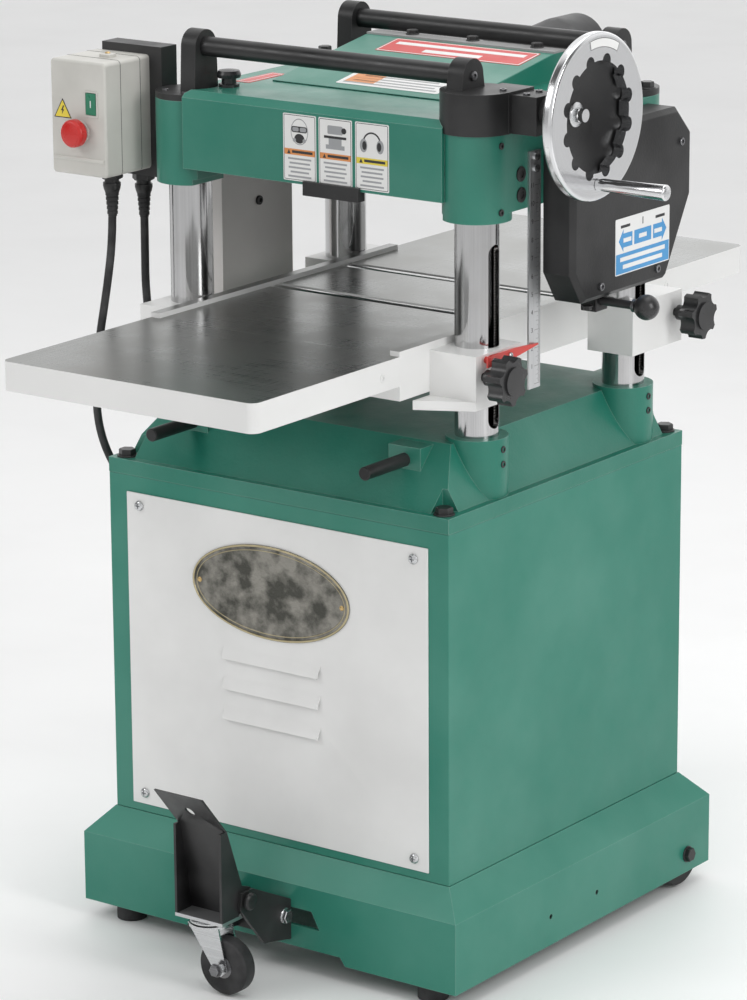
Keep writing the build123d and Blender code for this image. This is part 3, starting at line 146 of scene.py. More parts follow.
class Look:
    """A material, with short names for the nodes that it is made of."""

    def __init__(self, name, color, roughness, metallic=0.0, sockets=()):
        self.material = bpy.data.materials.new(name)
        self.material.use_nodes = True
        self.tree = self.material.node_tree
        self.surface = self.tree.nodes["Principled BSDF"]
        values = {"Base Color": (*color, 1.0), "Roughness": roughness, "Metallic": metallic, **dict(sockets)}
        for socket, value in values.items():
            self.surface.inputs[socket].default_value = value
        place = self.node("ShaderNodeTexCoord")
        self.place, self.facing = place.outputs["Object"], place.outputs["Normal"]
        axes = self.node("ShaderNodeSeparateXYZ", {0: self.place})
        self.x, self.y, self.z = axes.outputs
        self.up = self.node("ShaderNodeSeparateXYZ", {0: self.facing}).outputs["Z"]

    def node(self, kind, inputs=(), **settings):
        made = self.tree.nodes.new(kind)
        for key, value in settings.items():
            setattr(made, key, value)
        for socket, value in dict(inputs).items():
            if isinstance(value, bpy.types.NodeSocket):
                self.tree.links.new(value, made.inputs[socket])
            else:
                made.inputs[socket].default_value = value
        return made

    def noise(self, scale, detail=3.0, stretch=(1.0, 1.0, 1.0)):
        spread = self.node("ShaderNodeMapping", {"Vector": self.place, "Scale": stretch})
        inputs = {"Vector": spread.outputs[0], "Scale": scale, "Detail": detail}
        return self.node("ShaderNodeTexNoise", inputs).outputs[0]

    def ridges(self, scale, direction="Z"):
        inputs = {"Vector": self.place, "Scale": scale}
        return self.node("ShaderNodeTexWave", inputs, bands_direction=direction).outputs[1]

    def span(self, value, start, end, first=0.0, last=1.0):
        settings = {"Value": value, "From Min": start, "From Max": end, "To Min": first, "To Max": last}
        return self.node("ShaderNodeMapRange", settings).outputs["Result"]

    def calc(self, operation, first, second=0.0):
        return self.node("ShaderNodeMath", {0: first, 1: second}, operation=operation).outputs[0]

    def mixed(self, share, first, second):
        pair = [color if isinstance(color, bpy.types.NodeSocket) else (*color, 1.0) for color in (first, second)]
        return self.node("ShaderNodeMix", {0: share, 6: pair[0], 7: pair[1]}, data_type="RGBA").outputs[2]

    def between(self, share, first, second):
        return self.node("ShaderNodeMix", {0: share, 2: first, 3: second}, data_type="FLOAT").outputs[0]

    def edges(self, radius):
        rounded = self.node("ShaderNodeBevel", {"Radius": radius}, samples=4).outputs[0]
        plain = self.node("ShaderNodeNewGeometry").outputs["Normal"]
        match = self.node("ShaderNodeVectorMath", {0: rounded, 1: plain}, operation="DOT_PRODUCT")
        return self.span(match.outputs["Value"], 0.995, 0.90)

    def paint(self, socket, value):
        self.tree.links.new(value, self.surface.inputs[socket])

    def bump(self, height, distance, strength=1.0):
        made = self.node("ShaderNodeBump", {"Height": height, "Distance": distance, "Strength": strength})
        self.paint("Normal", made.outputs["Normal"])


def darker(color, share):
    return tuple(channel * share for channel in color)


def lighter(color, share):
    return tuple(channel + (1.0 - channel) * share for channel in color)


def enamel(name, color, roughness=0.35, peel=450.0, depth=0.00006, wave=0.0, wear_and_highlight=0.25, coat=0.15):
    """Paint on metal: slow colour drift, orange peel, and thin lighter edges that are partly edge wear and partly a
    painted highlight.
    """
    sockets = {"Coat Weight": coat, "Coat Roughness": 0.18, "Specular IOR Level": 0.4}
    look = Look(name, color, roughness, sockets=sockets)
    drift = look.span(look.noise(5.0, 5.0), 0.35, 0.65)
    height = look.noise(peel, 2.0)
    tone = look.mixed(drift, darker(color, 0.90), lighter(color, 0.03))
    specks = look.span(look.noise(900.0, 1.0), 0.70, 0.80, 0.0, 0.12)
    tone = look.mixed(specks, tone, lighter(color, 0.25))
    # rounded edges get a lighter tone of the paint: partly edge wear, partly a painted highlight where the edges
    # catch the light
    worn_and_lit_edges = look.calc("MULTIPLY", look.edges(0.0015), wear_and_highlight)
    look.paint("Base Color", look.mixed(worn_and_lit_edges, tone, lighter(color, 0.45)))
    look.paint("Roughness", look.span(look.noise(14.0, 6.0), 0.3, 0.7, roughness - 0.05, roughness + 0.10))
    if wave:
        height = look.calc("ADD", height, look.calc("MULTIPLY", look.noise(55.0, 2.0), wave))
    look.bump(height, depth)
    return look


def plastic(name, color, roughness=0.42, grain=1400.0, depth=0.00004):
    """Moulded plastic: fine spark texture, a little sheen variation."""
    look = Look(name, color, roughness)
    tone = look.mixed(look.span(look.noise(9.0, 4.0), 0.3, 0.7), darker(color, 0.88), lighter(color, 0.02))
    look.paint("Base Color", tone)
    look.paint("Roughness", look.span(look.noise(40.0, 5.0), 0.3, 0.7, roughness - 0.06, roughness + 0.08))
    look.bump(look.noise(grain, 2.0), depth)
    return look


def rubber(name, color=(0.018, 0.018, 0.019), roughness=0.62, grain=700.0):
    look = Look(name, color, roughness, sockets={"Specular IOR Level": 0.35})
    dusty = look.span(look.noise(30.0, 6.0), 0.45, 0.75, 0.0, 0.5)
    look.paint("Base Color", look.mixed(dusty, color, lighter(color, 0.08)))
    look.paint("Roughness", look.span(look.noise(60.0, 4.0), 0.3, 0.7, roughness - 0.08, roughness + 0.12))
    look.bump(look.noise(grain, 3.0), 0.00008)
    return look


def steel(name, color, roughness, along, fine=900.0, depth=0.00001, stain=0.0):
    """Machined steel: long scratches along one axis, faint stains."""
    stretch = [fine, fine, fine]
    stretch["xyz".index(along)] = 3.0
    look = Look(name, color, roughness, 1.0)
    scratches = look.noise(1.0, 4.0, tuple(stretch))
    slow = look.noise(18.0, 5.0)
    tone = look.mixed(look.span(scratches, 0.3, 0.7), darker(color, 0.86), lighter(color, 0.10))
    if stain:
        blot = look.span(slow, 0.5, 0.75, 0.0, stain)
        tone = look.mixed(blot, tone, (0.22, 0.19, 0.15))
    look.paint("Base Color", tone)
    rough = look.span(scratches, 0.25, 0.75, roughness * 0.75, roughness * 1.35)
    look.paint("Roughness", look.calc("ADD", rough, look.span(slow, 0.3, 0.7, -0.02, 0.04)))
    look.bump(scratches, depth)
    return look


GREEN = (0.012, 0.205, 0.142)
BLACK = (0.0055, 0.0055, 0.006)
WHITE = (0.80, 0.80, 0.79)
ZINC = (0.62, 0.63, 0.64)

green_sheet = enamel("green_sheet", GREEN, 0.36, peel=520.0, depth=0.00005)
green_casting = enamel("green_casting", darker(GREEN, 0.92), 0.34, 240.0, 0.00022, wave=1.6, wear_and_highlight=0.35)
green_deck = enamel("green_deck", GREEN, 0.34, peel=380.0, depth=0.0001)
white_enamel = enamel("white_enamel", WHITE, 0.33, peel=480.0, depth=0.00006, wear_and_highlight=0.0)
grey_enamel = enamel("grey_enamel", (0.72, 0.69, 0.67), 0.42, peel=420.0, depth=0.00006, wear_and_highlight=0.0)
black_enamel = enamel("black_enamel", BLACK, 0.34, peel=380.0, depth=0.00007, wear_and_highlight=0.06, coat=0.0)
black_casting = enamel("black_casting", BLACK, 0.40, peel=260.0, depth=0.00016, wave=0.8, wear_and_highlight=0.05, coat=0.0)
black_plastic = plastic("black_plastic", BLACK, 0.38)
knob_plastic = plastic("knob_plastic", (0.016, 0.016, 0.017), 0.30, grain=500.0)
green_plastic = plastic("green_plastic", (0.01, 0.19, 0.10), 0.30)
red_plastic = plastic("red_plastic", (0.58, 0.015, 0.012), 0.28)
black_rubber = rubber("black_rubber")
cord_rubber = rubber("cord_rubber", (0.02, 0.02, 0.021), 0.50)
column_steel = steel("column_steel", (0.55, 0.55, 0.555), 0.11, "z", stain=0.10)
roller_steel = steel("roller_steel", (0.62, 0.62, 0.62), 0.20, "x")
dark_steel = steel("dark_steel", (0.20, 0.20, 0.21), 0.35, "x", stain=0.3)
zinc = steel("zinc", ZINC, 0.24, "x", fine=900.0, stain=0.05)
chrome = steel("chrome", (0.78, 0.78, 0.79), 0.10, "x", fine=500.0)
satin_chrome = steel("satin_chrome", (0.72, 0.73, 0.74), 0.24, "x", fine=900.0)
rule_steel = steel("rule_steel", (0.66, 0.67, 0.68), 0.32, "z")
brass = steel("brass", (0.62, 0.42, 0.16), 0.28, "z")
ink = enamel("ink", (0.02, 0.02, 0.022), 0.45, wear_and_highlight=0.0, coat=0.0)
card_white = enamel("card_white", (0.82, 0.82, 0.81), 0.38, wear_and_highlight=0.0)
card_grey = enamel("card_grey", (0.34, 0.35, 0.36), 0.42, wear_and_highlight=0.0)
card_red = enamel("card_red", (0.62, 0.03, 0.025), 0.36, wear_and_highlight=0.0)
card_orange = enamel("card_orange", (0.72, 0.27, 0.07), 0.38, wear_and_highlight=0.0)
card_yellow = enamel("card_yellow", (0.78, 0.62, 0.05), 0.38, wear_and_highlight=0.0)
card_blue = enamel("card_blue", (0.05, 0.30, 0.62), 0.36, wear_and_highlight=0.0)


def screw_look():
    """Oiled lead screw: ridges of its threads along its length, darker in the grooves as painted shade and lighter on
    the crests as a painted highlight.
    """
    look = Look("screw_thread", (0.34, 0.34, 0.34), 0.32, 1.0)
    ridge_relief_and_shade = look.ridges(80.0)
    # grooves painted dark brown and crests light grey: painted shade in the grooves, painted highlight on the crests;
    # the same ridges give the bump
    look.paint("Base Color", look.mixed(ridge_relief_and_shade, (0.10, 0.09, 0.08), (0.46, 0.45, 0.44)))
    look.bump(ridge_relief_and_shade, 0.0008)
    return look


def table_look(name, top):
    """Ground iron on every face level with the top, white enamel on the rest."""
    look = Look(name, WHITE, 0.3, sockets={"Specular Tint": (0.8, 0.8, 0.8, 1.0)})
    level = look.span(look.up, 0.85, 0.95)
    ground = look.calc("MULTIPLY", level, look.span(look.z, top - 0.0012, top - 0.0008))
    grind = look.noise(1.0, 5.0, (5.0, 700.0, 1.0))
    cross = look.noise(1.0, 4.0, (260.0, 7.0, 1.0))
    marks = look.calc("ADD", look.calc("MULTIPLY", grind, 0.7), look.calc("MULTIPLY", cross, 0.3))
    blot = look.span(look.noise(9.0, 6.0), 0.35, 0.7)
    iron = look.mixed(look.span(marks, 0.3, 0.7), (0.31, 0.315, 0.31), (0.42, 0.43, 0.425))
    iron = look.mixed(look.calc("MULTIPLY", blot, 0.3), iron, (0.29, 0.28, 0.25))
    specks = look.span(look.noise(700.0, 1.0), 0.68, 0.78, 0.0, 0.10)
    white = look.mixed(look.span(look.noise(5.0, 4.0), 0.3, 0.7), darker(WHITE, 0.93), WHITE)
    white = look.mixed(specks, white, darker(WHITE, 0.7))
    look.paint("Base Color", look.mixed(ground, white, iron))
    look.paint("Metallic", ground)
    shine = look.calc("ADD", look.span(marks, 0.3, 0.7, 0.24, 0.32), look.span(blot, 0.0, 1.0, -0.02, 0.05))
    look.paint("Roughness", look.between(ground, look.span(look.noise(20.0), 0.3, 0.7, 0.30, 0.42), shine))
    peel = look.noise(420.0, 2.0)
    look.bump(look.between(ground, peel, marks), 0.00002)
    return look


def handwheel_look():
    """Satin chrome rim and hub nut, black dished web."""
    centre = middle("handwheel")
    rim_back = low("handwheel_handle").x - 0.0167
    look = Look("handwheel_metal", (0.7, 0.7, 0.7), 0.2)
    off_y = look.calc("SUBTRACT", look.y, centre.y)
    off_z = look.calc("SUBTRACT", look.z, centre.z)
    square = look.calc("ADD", look.calc("MULTIPLY", off_y, off_y), look.calc("MULTIPLY", off_z, off_z))
    radius = look.calc("SQRT", square)
    rim = look.span(look.x, rim_back - 0.0002, rim_back)
    shaft = look.calc("LESS_THAN", radius, 0.0096)
    bare = look.calc("MAXIMUM", rim, shaft)
    line = look.node("ShaderNodeCombineXYZ", {0: look.calc("MULTIPLY", radius, 900.0)}).outputs[0]
    rings = look.node("ShaderNodeTexNoise", {"Vector": line, "Scale": 1.0}).outputs[0]
    metal = look.mixed(look.span(rings, 0.3, 0.7), (0.62, 0.63, 0.64), (0.80, 0.80, 0.81))
    look.paint("Base Color", look.mixed(bare, BLACK, metal))
    look.paint("Metallic", bare)
    grain = look.noise(500.0, 2.0)
    painted = look.span(grain, 0.3, 0.7, 0.36, 0.5)
    look.paint("Roughness", look.between(bare, painted, look.span(rings, 0.3, 0.7, 0.12, 0.24)))
    look.bump(look.between(bare, grain, rings), 0.00003)
    return look


def two_tone(name, mask_axis, limit, above, below, rough=(0.4, 0.4), metal=(0.0, 0.0), grain=700.0):
    """One finish above a limit along an axis and another below it."""
    look = Look(name, above, rough[0])
    value = {"x": look.x, "y": look.y, "z": look.z}[mask_axis]
    share = look.span(value, limit - 0.0001, limit + 0.0001)
    drift = look.span(look.noise(12.0, 5.0), 0.3, 0.7)
    first = look.mixed(drift, darker(below, 0.86), lighter(below, 0.03))
    second = look.mixed(drift, darker(above, 0.90), lighter(above, 0.03))
    look.paint("Base Color", look.mixed(share, first, second))
    look.paint("Metallic", look.between(share, metal[1], metal[0]))
    smudge = look.span(look.noise(30.0, 4.0), 0.3, 0.7, -0.05, 0.08)
    look.paint("Roughness", look.calc("ADD", look.between(share, rough[1], rough[0]), smudge))
    look.bump(look.noise(grain, 2.0), 0.00006)
    return look


# ---------------------------------------------------------------- shapes in mesh code

def polar(count, reach):
    """Closed outline from a distance for each angle."""
    angles = [2 * math.pi * step / count for step in range(count)]
    return [(reach(angle) * math.cos(angle), reach(angle) * math.sin(angle)) for angle in angles]


def circle(radius, count=32):
    return polar(count, lambda angle: radius)


def ellipse(half_x, half_y, count=72):
    return [(half_x * x, half_y * y) for x, y in circle(1.0, count)]


def hexagon(radius):
    flat = radius * math.cos(math.pi / 6)
    return polar(36, lambda angle: flat / math.cos(angle % (math.pi / 3) - math.pi / 6))


def cross(arm, half, count=48):
    def reach(angle):
        folded = abs((angle + math.pi / 4) % (math.pi / 2) - math.pi / 4)
        return min(arm / math.cos(folded), half / max(math.sin(folded), 1e-6))
    return polar(count, reach)


def rectangle(x0, y0, x1, y1, radius=0.0, steps=4):
    if not radius:
        return [(x0, y0), (x1, y0), (x1, y1), (x0, y1)]
    outline = []
    x0, y0, x1, y1 = x0 + radius, y0 + radius, x1 - radius, y1 - radius
    for centre_x, centre_y, first in ((x1, y1, 0), (x0, y1, 1), (x0, y0, 2), (x1, y0, 3)):
        for step in range(steps + 1):
            angle = math.pi / 2 * (first + step / steps)
            outline.append((centre_x + radius * math.cos(angle), centre_y + radius * math.sin(angle)))
    return outline


def skin(mesh, rows):
    """Faces between each row of vertices and the next."""
    for lower, upper in zip(rows, rows[1:]):
        for index in range(len(lower)):
            after = (index + 1) % len(lower)
            mesh.faces.new((lower[index], lower[after], upper[after], upper[index]))


def loft(rings):
    """Skin through outlines of equal length, each at its own height, closed at both ends."""
    mesh = bmesh.new()
    rows = [[mesh.verts.new((x, y, z)) for x, y in outline] for outline, z in rings]
    skin(mesh, rows)
    mesh.faces.new(list(reversed(rows[0])))
    mesh.faces.new(rows[-1])
    return mesh


def hoop(rows):
    """Skin through rows of points that ends at the row where it began."""
    mesh = bmesh.new()
    made = [[mesh.verts.new(point) for point in row] for row in rows]
    skin(mesh, made + made[:1])
    return mesh


def band(rings):
    """Hoop through outlines, each at its own height."""
    return hoop([[(x, y, z) for x, y in outline] for outline, z in rings])


def lathe(profile, count=40):
    """Turned shape from (radius, height) points."""
    return loft([(circle(radius, count), height) for radius, height in profile])


def prism(outline, start, end):
    return loft([(outline, start), (outline, end)])


def joined(meshes):
    whole = bmesh.new()
    for part in meshes:
        data = bpy.data.meshes.new("part")
        part.to_mesh(data)
        part.free()
        whole.from_mesh(data)
        bpy.data.meshes.remove(data)
    return whole


def moved(mesh, place):
    bmesh.ops.transform(mesh, matrix=place, verts=mesh.verts)
    return mesh


def on(origin, normal, right=None):
    """Placing matrix: the shape's own Z along normal, its own X along right."""
    normal = Vector(normal).normalized()
    if right is None:
        right = Y if abs(normal.y) < 0.9 else X
    right = (Vector(right) - normal * normal.dot(Vector(right))).normalized()
    turn = Matrix((right, normal.cross(right), normal)).transposed().to_4x4()
    return Matrix.Translation(Vector(origin)) @ turn


SHARP = 32.0


def finish_mesh(mesh, name):
    bmesh.ops.remove_doubles(mesh, verts=mesh.verts, dist=1e-7)
    bmesh.ops.recalc_face_normals(mesh, faces=mesh.faces)
    data = bpy.data.meshes.new(name)
    mesh.to_mesh(data)
    mesh.free()
    data.shade_smooth()
    data.set_sharp_from_angle(angle=math.radians(SHARP))
    return data


def add(name, mesh, body, finish, place=Matrix()):
    """Puts a mesh in the scene as a piece that rides on a body. Its finish is a look and a material slot; the slot is
    not used.
    """
    look, slot = finish
    data = mesh if isinstance(mesh, bpy.types.Mesh) else finish_mesh(mesh, name)
    piece = bpy.data.objects.new(name, data)
    bpy.context.collection.objects.link(piece)
    piece.matrix_world = place
    if not data.materials:
        data.materials.append(look.material)
    bpy.context.view_layer.update()
    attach(piece, body)
    return piece


def soften(piece, width):
    """Rounds the sharp edges of a piece."""
    piece.modifiers.new("weld", "WELD").merge_threshold = 0.000005
    rounding = piece.modifiers.new("edges", "BEVEL")
    rounding.width = width
    rounding.segments = 2
    rounding.limit_method = "ANGLE"
    rounding.angle_limit = math.radians(SHARP)
    rounding.use_clamp_overlap = True
    rounding.harden_normals = False


def pan_head(radius, height):
    """Domed screw head with a cross recess."""
    count = 48
    rings = [(circle(radius, count), 0.0), (circle(radius, count), height * 0.35),
             (circle(radius * 0.86, count), height * 0.75), (circle(radius * 0.62, count), height * 0.97),
             (cross(radius * 0.56, radius * 0.13), height), (cross(radius * 0.40, radius * 0.09), height * 0.35)]
    return loft(rings)


def hex_head(radius, height, washer=0.0):
    """Hexagon bolt head on its washer."""
    rings = [(hexagon(radius), 0.0), (hexagon(radius), height * 0.82), (hexagon(radius * 0.90), height),
             (hexagon(radius * 0.2), height)]
    parts = [loft(rings)]
    if washer:
        thick = height * 0.28
        parts = [moved(parts[0], Matrix.Translation((0, 0, thick)))]
        ring = [(washer, 0.0), (washer, thick * 0.7), (washer * 0.94, thick), (radius * 0.3, thick)]
        parts.append(lathe(ring))
    return joined(parts)


def socket_head(radius, height):
    """Round head with a hexagon socket."""
    side, top, socket = circle(radius, 36), circle(radius * 0.90, 36), hexagon(radius * 0.56)
    return loft([(side, 0.0), (side, height * 0.85), (top, height), (socket, height), (socket, height * 0.35)])


fastener_meshes = {}


def fasten(name, shape, sizes, body, finish, spots, normal):
    """The same fastener at several spots."""
    material = finish[0].material
    key = (shape.__name__, sizes, material.name)
    if key not in fastener_meshes:
        fastener_meshes[key] = finish_mesh(shape(*sizes), f"{shape.__name__}_{len(fastener_meshes)}")
        fastener_meshes[key].materials.append(material)
    for number, spot in enumerate(spots):
        add(f"{name}_{number + 1}", fastener_meshes[key], body, finish, on(spot, normal))


CARD = 0.0004
PRINT = 0.00012


def card(name, body, slot, place, base, marks):
    """Printed plate: a base outline and coloured marks (outline, look, layer) laid on it."""
    looks = [base[1]]
    parts = []
    for outline, look, layer in [(base[0], base[1], 0), *marks]:
        if look not in looks:
            looks.append(look)
        bottom = 0.0 if not layer else CARD + PRINT * (layer - 1) - PRINT / 2
        part = prism(outline, bottom, CARD + PRINT * layer)
        for face in part.faces:
            face.material_index = looks.index(look)
        parts.append(part)
    data = finish_mesh(joined(parts), name)
    for look in looks:
        data.materials.append(look.material)
    return add(name, data, body, (base[1], slot), place)


def text_lines(x0, x1, tops, height, look, layer=1):
    """Rows of plain bars that stand for printed lines."""
    rows = []
    for number, top in enumerate(tops):
        inset = (x1 - x0) * (0.0, 0.06, 0.02, 0.10)[number % 4]
        rows.append((rectangle(x0 + inset, top - height, x1 - inset, top), look, layer))
    return rows


# ---------------------------------------------------------------- cords

CORD_RADIUS = 0.006
MOTOR_LEAD = [
    (-0.352, -0.212, 1.0628), (-0.352, -0.212, 1.000), (-0.366, -0.212, 0.918), (-0.386, -0.211, 0.830),
    (-0.395, -0.209, 0.747), (-0.388, -0.206, 0.690), (-0.362, -0.201, 0.640), (-0.332, -0.194, 0.584),
    (-0.332, -0.194, 0.528),
]
SUPPLY_LEAD = [
    (-0.348, -0.145, 1.0508), (-0.348, -0.145, 0.985), (-0.352, -0.141, 0.895), (-0.350, -0.122, 0.790),
    (-0.345, -0.100, 0.680), (-0.350, -0.082, 0.560), (-0.357, -0.073, 0.430), (-0.362, -0.067, 0.300),
    (-0.372, -0.057, 0.190), (-0.376, -0.042, 0.112), (-0.377, -0.012, 0.048), (-0.376, 0.042, 0.012),
    (-0.377, 0.112, 0.0064), (-0.373, 0.208, 0.0063), (-0.360, 0.306, 0.0064), (-0.328, 0.386, 0.0063),
    (-0.268, 0.438, 0.0064), (-0.205, 0.456, 0.0063), (-0.152, 0.459, 0.0063),
]


def coil_turns():
    """Four turns, two beside each other in two layers, ending towards the plug."""
    centre = middle("supply_coil")
    steps = 16
    pitch = 2 * CORD_RADIUS + 0.0004
    ring = (high("supply_coil").x - low("supply_coil").x) / 2 - CORD_RADIUS - 0.0012
    radii = (ring, ring - pitch, ring - pitch, ring)
    heights = (0.0063, 0.0063, 0.0183, 0.0183)
    points = []
    start = 1.5 * math.pi - 0.15
    for step in range(4 * steps - 5):
        turn = step / steps
        index = min(int(turn), 3)
        ahead = min(index + 1, 3)
        slip = max(0.0, (turn - index - 0.75) / 0.25)
        radius = radii[index] + (radii[ahead] - radii[index]) * slip
        height = heights[index] + (heights[ahead] - heights[index]) * slip
        angle = start + 2 * math.pi * turn
        points.append((centre.x + radius * math.cos(angle), centre.y + radius * math.sin(angle), height))
    return points


def nurbs(name, points):
    curve = bpy.data.curves.new(name, "CURVE")
    curve.dimensions = "3D"
    curve.bevel_depth = CORD_RADIUS
    curve.bevel_resolution = 6
    curve.resolution_u = 10
    curve.use_fill_caps = True
    spline = curve.splines.new("NURBS")
    spline.points.add(len(points) - 1)
    for point, place in zip(spline.points, points):
        point.co = (*place, 1.0)
    spline.order_u = 3
    spline.use_endpoint_u = True
    curve.materials.append(cord_rubber.material)
    piece = bpy.data.objects.new(name, curve)
    bpy.context.collection.objects.link(piece)
    bpy.context.view_layer.update()
    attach(piece, "frame")
    return piece


def curve_length(piece):
    data = piece.data.copy()
    data.bevel_depth = 0.0
    data.use_fill_caps = False
    bare = bpy.data.objects.new("measure", data)
    mesh = bpy.data.meshes.new_from_object(bare)
    places = [vertex.co for vertex in mesh.vertices]
    length = sum((a - b).length for a, b in zip(places, places[1:]))
    bpy.data.objects.remove(bare)
    bpy.data.meshes.remove(mesh)
    return length


def strain_relief(name, top, direction):
    """Ribbed, tapered boot round the cord beyond a gland."""
    profile = [(0.0098, 0.0)]
    reach, ribs = 0.034, 5
    for rib in range(ribs):
        outer = 0.0098 - 0.0026 * rib / ribs
        start = reach * rib / ribs
        profile += [(outer, start), (outer, start + reach * 0.13), (outer - 0.0012, start + reach * 0.14),
                    (outer - 0.0013, start + reach * 0.19)]
    profile += [(0.0068, reach), (0.0061, reach + 0.001)]
    return add(name, lathe(profile, 32), "frame", (cord_rubber, "black_plastic"), on(top, direction))


def plug_piece():
    """Moulded three-pin plug lying on the floor."""
    bottom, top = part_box("supply_plug")
    centre = (bottom + top) / 2
    end = top.x
    radius = (top.z - bottom.z) / 2
    grip = [(0.0062, 0.0), (0.0085, 0.001), (0.0095, 0.008), (0.0125, 0.012), (0.0150, 0.020),
            (radius * 0.97, 0.032), (radius * 0.99, 0.046), (radius * 0.92, 0.052), (radius * 0.4, 0.0535)]
    parts = [moved(lathe(grip), on((end, centre.y, centre.z), -X, Y))]
    for side in (-1, 1):
        blade = prism(rectangle(-0.0032, -0.0008, 0.0032, 0.0008, 0.0006), 0.0, 0.018)
        parts.append(moved(blade, on((end - 0.0525, centre.y + side * 0.0075, centre.z + 0.0028), -X, Z)))
    ground = lathe([(0.0024, 0.0), (0.0024, 0.016), (0.0014, 0.0185)], 20)
    parts.append(moved(ground, on((end - 0.0525, centre.y, centre.z - 0.0075), -X, Z)))
    for index, part in enumerate(parts):
        for face in part.faces:
            face.material_index = 0 if index == 0 else 1
    data = finish_mesh(joined(parts), "supply_plug_detail")
    data.materials.append(cord_rubber.material)
    data.materials.append(brass.material)
    return add("supply_plug_detail", data, "frame", (cord_rubber, "black_rubber"))


def coil_tie():
    """Strap round the coil's four strands."""
    centre = middle("supply_coil")
    outer = rectangle(-0.0142, 0.0002, 0.0142, 0.0268, 0.006)
    inner = rectangle(-0.0131, 0.0008, 0.0131, 0.0257, 0.005)
    half = 0.009
    rows = [[(x, reach, z) for x, z in outline]
            for outline, reach in ((outer, -half), (outer, half), (inner, half), (inner, -half))]
    place = Matrix.Translation((high("supply_coil").x - 0.013, centre.y, 0.0))
    return add("coil_tie", hoop(rows), "frame", (black_rubber, "black_rubber"), place)


def make_cords():
    """The lead to the cabinet, and the supply cord with its coil, tie and plug."""
    motor = nurbs("motor_lead_cord", MOTOR_LEAD)
    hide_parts("motor_lead")
    reliefs = [strain_relief("motor_lead_boot", MOTOR_LEAD[0], -Z),
               strain_relief("motor_lead_end_boot", MOTOR_LEAD[-1], Z)]
    round(curve_length(motor), 3)
    end, axis = high("supply_plug").x, middle("supply_plug")
    tail = [(end + 0.022, axis.y + 0.002, 0.0183), (end - 0.004, axis.y, axis.z)]
    supply = nurbs("supply_cord", SUPPLY_LEAD[:-1] + coil_turns() + tail)
    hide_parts("supply_lead", "supply_coil")
    plug = plug_piece()
    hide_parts("supply_plug")
    relief = strain_relief("supply_lead_boot", SUPPLY_LEAD[0], -Z)
    round(curve_length(supply), 3)
    coil_tie()


make_cords()

# ---------------------------------------------------------------- finishes on the CAD nodes


def dress(nodes, look, bevel=0.0):
    """Finish for CAD nodes, with rounded edges where bevel is given."""
    for node in nodes.split():
        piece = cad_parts[node]
        if not piece.material_slots:
            piece.data.materials.append(look.material)
        for holder in piece.material_slots:
            holder.material = look.material
        if bevel:
            soften(piece, bevel)
            piece.modifiers.new("shade", "WEIGHTED_NORMAL").keep_sharp = False


def four(name):
    return " ".join(f"{name}_{end}_{side}" for end in ("front", "rear") for side in ("left", "right"))


head_low, head_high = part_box("head_casting")
cover_low = low("top_cover")
switch_low = low("switch_box")
gear_low, gear_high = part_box("gearbox_cover")
cabinet_low, cabinet_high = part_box("cabinet")
plinth_low, plinth_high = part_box("base_plinth")
table_top = high("infeed_wing").z
front_face = head_low.y
lever_plate = high("caster_fork").z + 0.0115
pointer_face = high("depth_pointer").x - 0.002
SOOT = (0.014, 0.014, 0.015)

# no rounded edges here; the enamel's painted edge highlight stands in for the light they would catch
dress("base_plinth", green_sheet)
dress("cabinet", green_sheet, 0.0015)
dress("lower_casting", green_casting, 0.002)
dress("head_casting", green_casting, 0.0025)
dress("top_cover", green_deck, 0.0012)
dress("access_panel", white_enamel, 0.0009)
dress("levelling_feet", black_rubber, 0.002)
dress("rear_wheel_left rear_wheel_right caster_wheel", black_rubber)
dress("hinge_bracket", black_enamel, 0.0008)
lever_finish = two_tone("lever_finish", "z", lever_plate, BLACK, ZINC, (0.36, 0.32), (0.0, 1.0))
dress("foot_lever", lever_finish, 0.0007)
dress("caster_fork", zinc, 0.0006)
dress("lifting_bar_front_left lifting_bar_front_right", black_enamel, 0.0008)
dress(four("column"), column_steel, 0.0005)
dress(four("lead_screw"), screw_look())
dress("lift_chain motor_pulley cutterhead cutterhead_pulley", dark_steel)
dress("infeed_roller chip_breaker kickback_fingers", dark_steel)
dress("outfeed_roller bed_roller_front bed_roller_rear", roller_steel)
dress("table", table_look("main_table_iron", table_top), 0.0012)
dress("infeed_wing outfeed_wing", table_look("wing_iron", table_top), 0.0012)
dress("lock_knob_front lock_knob_rear", knob_plastic, 0.0012)
pointer_finish = two_tone("pointer_finish", "x", pointer_face + 0.0002, ZINC, (0.60, 0.03, 0.02), (0.25, 0.3),
                          (1.0, 0.0))
dress("depth_pointer", pointer_finish, 0.0004)
dress("depth_scale", rule_steel, 0.0003)
dress("depth_limiter", black_enamel, 0.0008)
dress("roller_stands gear_cap", black_casting, 0.0016)
dress("return_roller_front return_roller_rear", black_plastic, 0.0006)
dress("handwheel", handwheel_look(), 0.0012)
dress("handwheel_handle", chrome)
dress("gearbox_cover", black_casting, 0.0016)
dress("shift_rod", knob_plastic)
dress("belt_guard", grey_enamel, 0.0015)
dress("motor", enamel("motor_grey", (0.10, 0.11, 0.12), 0.4))
hood_finish = two_tone("hood_finish", "y", head_high.y + 0.011, SOOT, (0.36, 0.36, 0.36), (0.42, 0.38))
dress("dust_hood", hood_finish, 0.0008)
switch_finish = two_tone("switch_finish", "y", front_face + 0.0458, SOOT, (0.60, 0.59, 0.55), (0.45, 0.40))
dress("switch_box", switch_finish, 0.0012)
dress("start_button", green_plastic, 0.0008)
dress("stop_button", red_plastic)
dress("cable_glands", black_plastic, 0.0008)
dress("motor_lead supply_lead supply_coil supply_plug", cord_rubber)

# ---------------------------------------------------------------- pieces

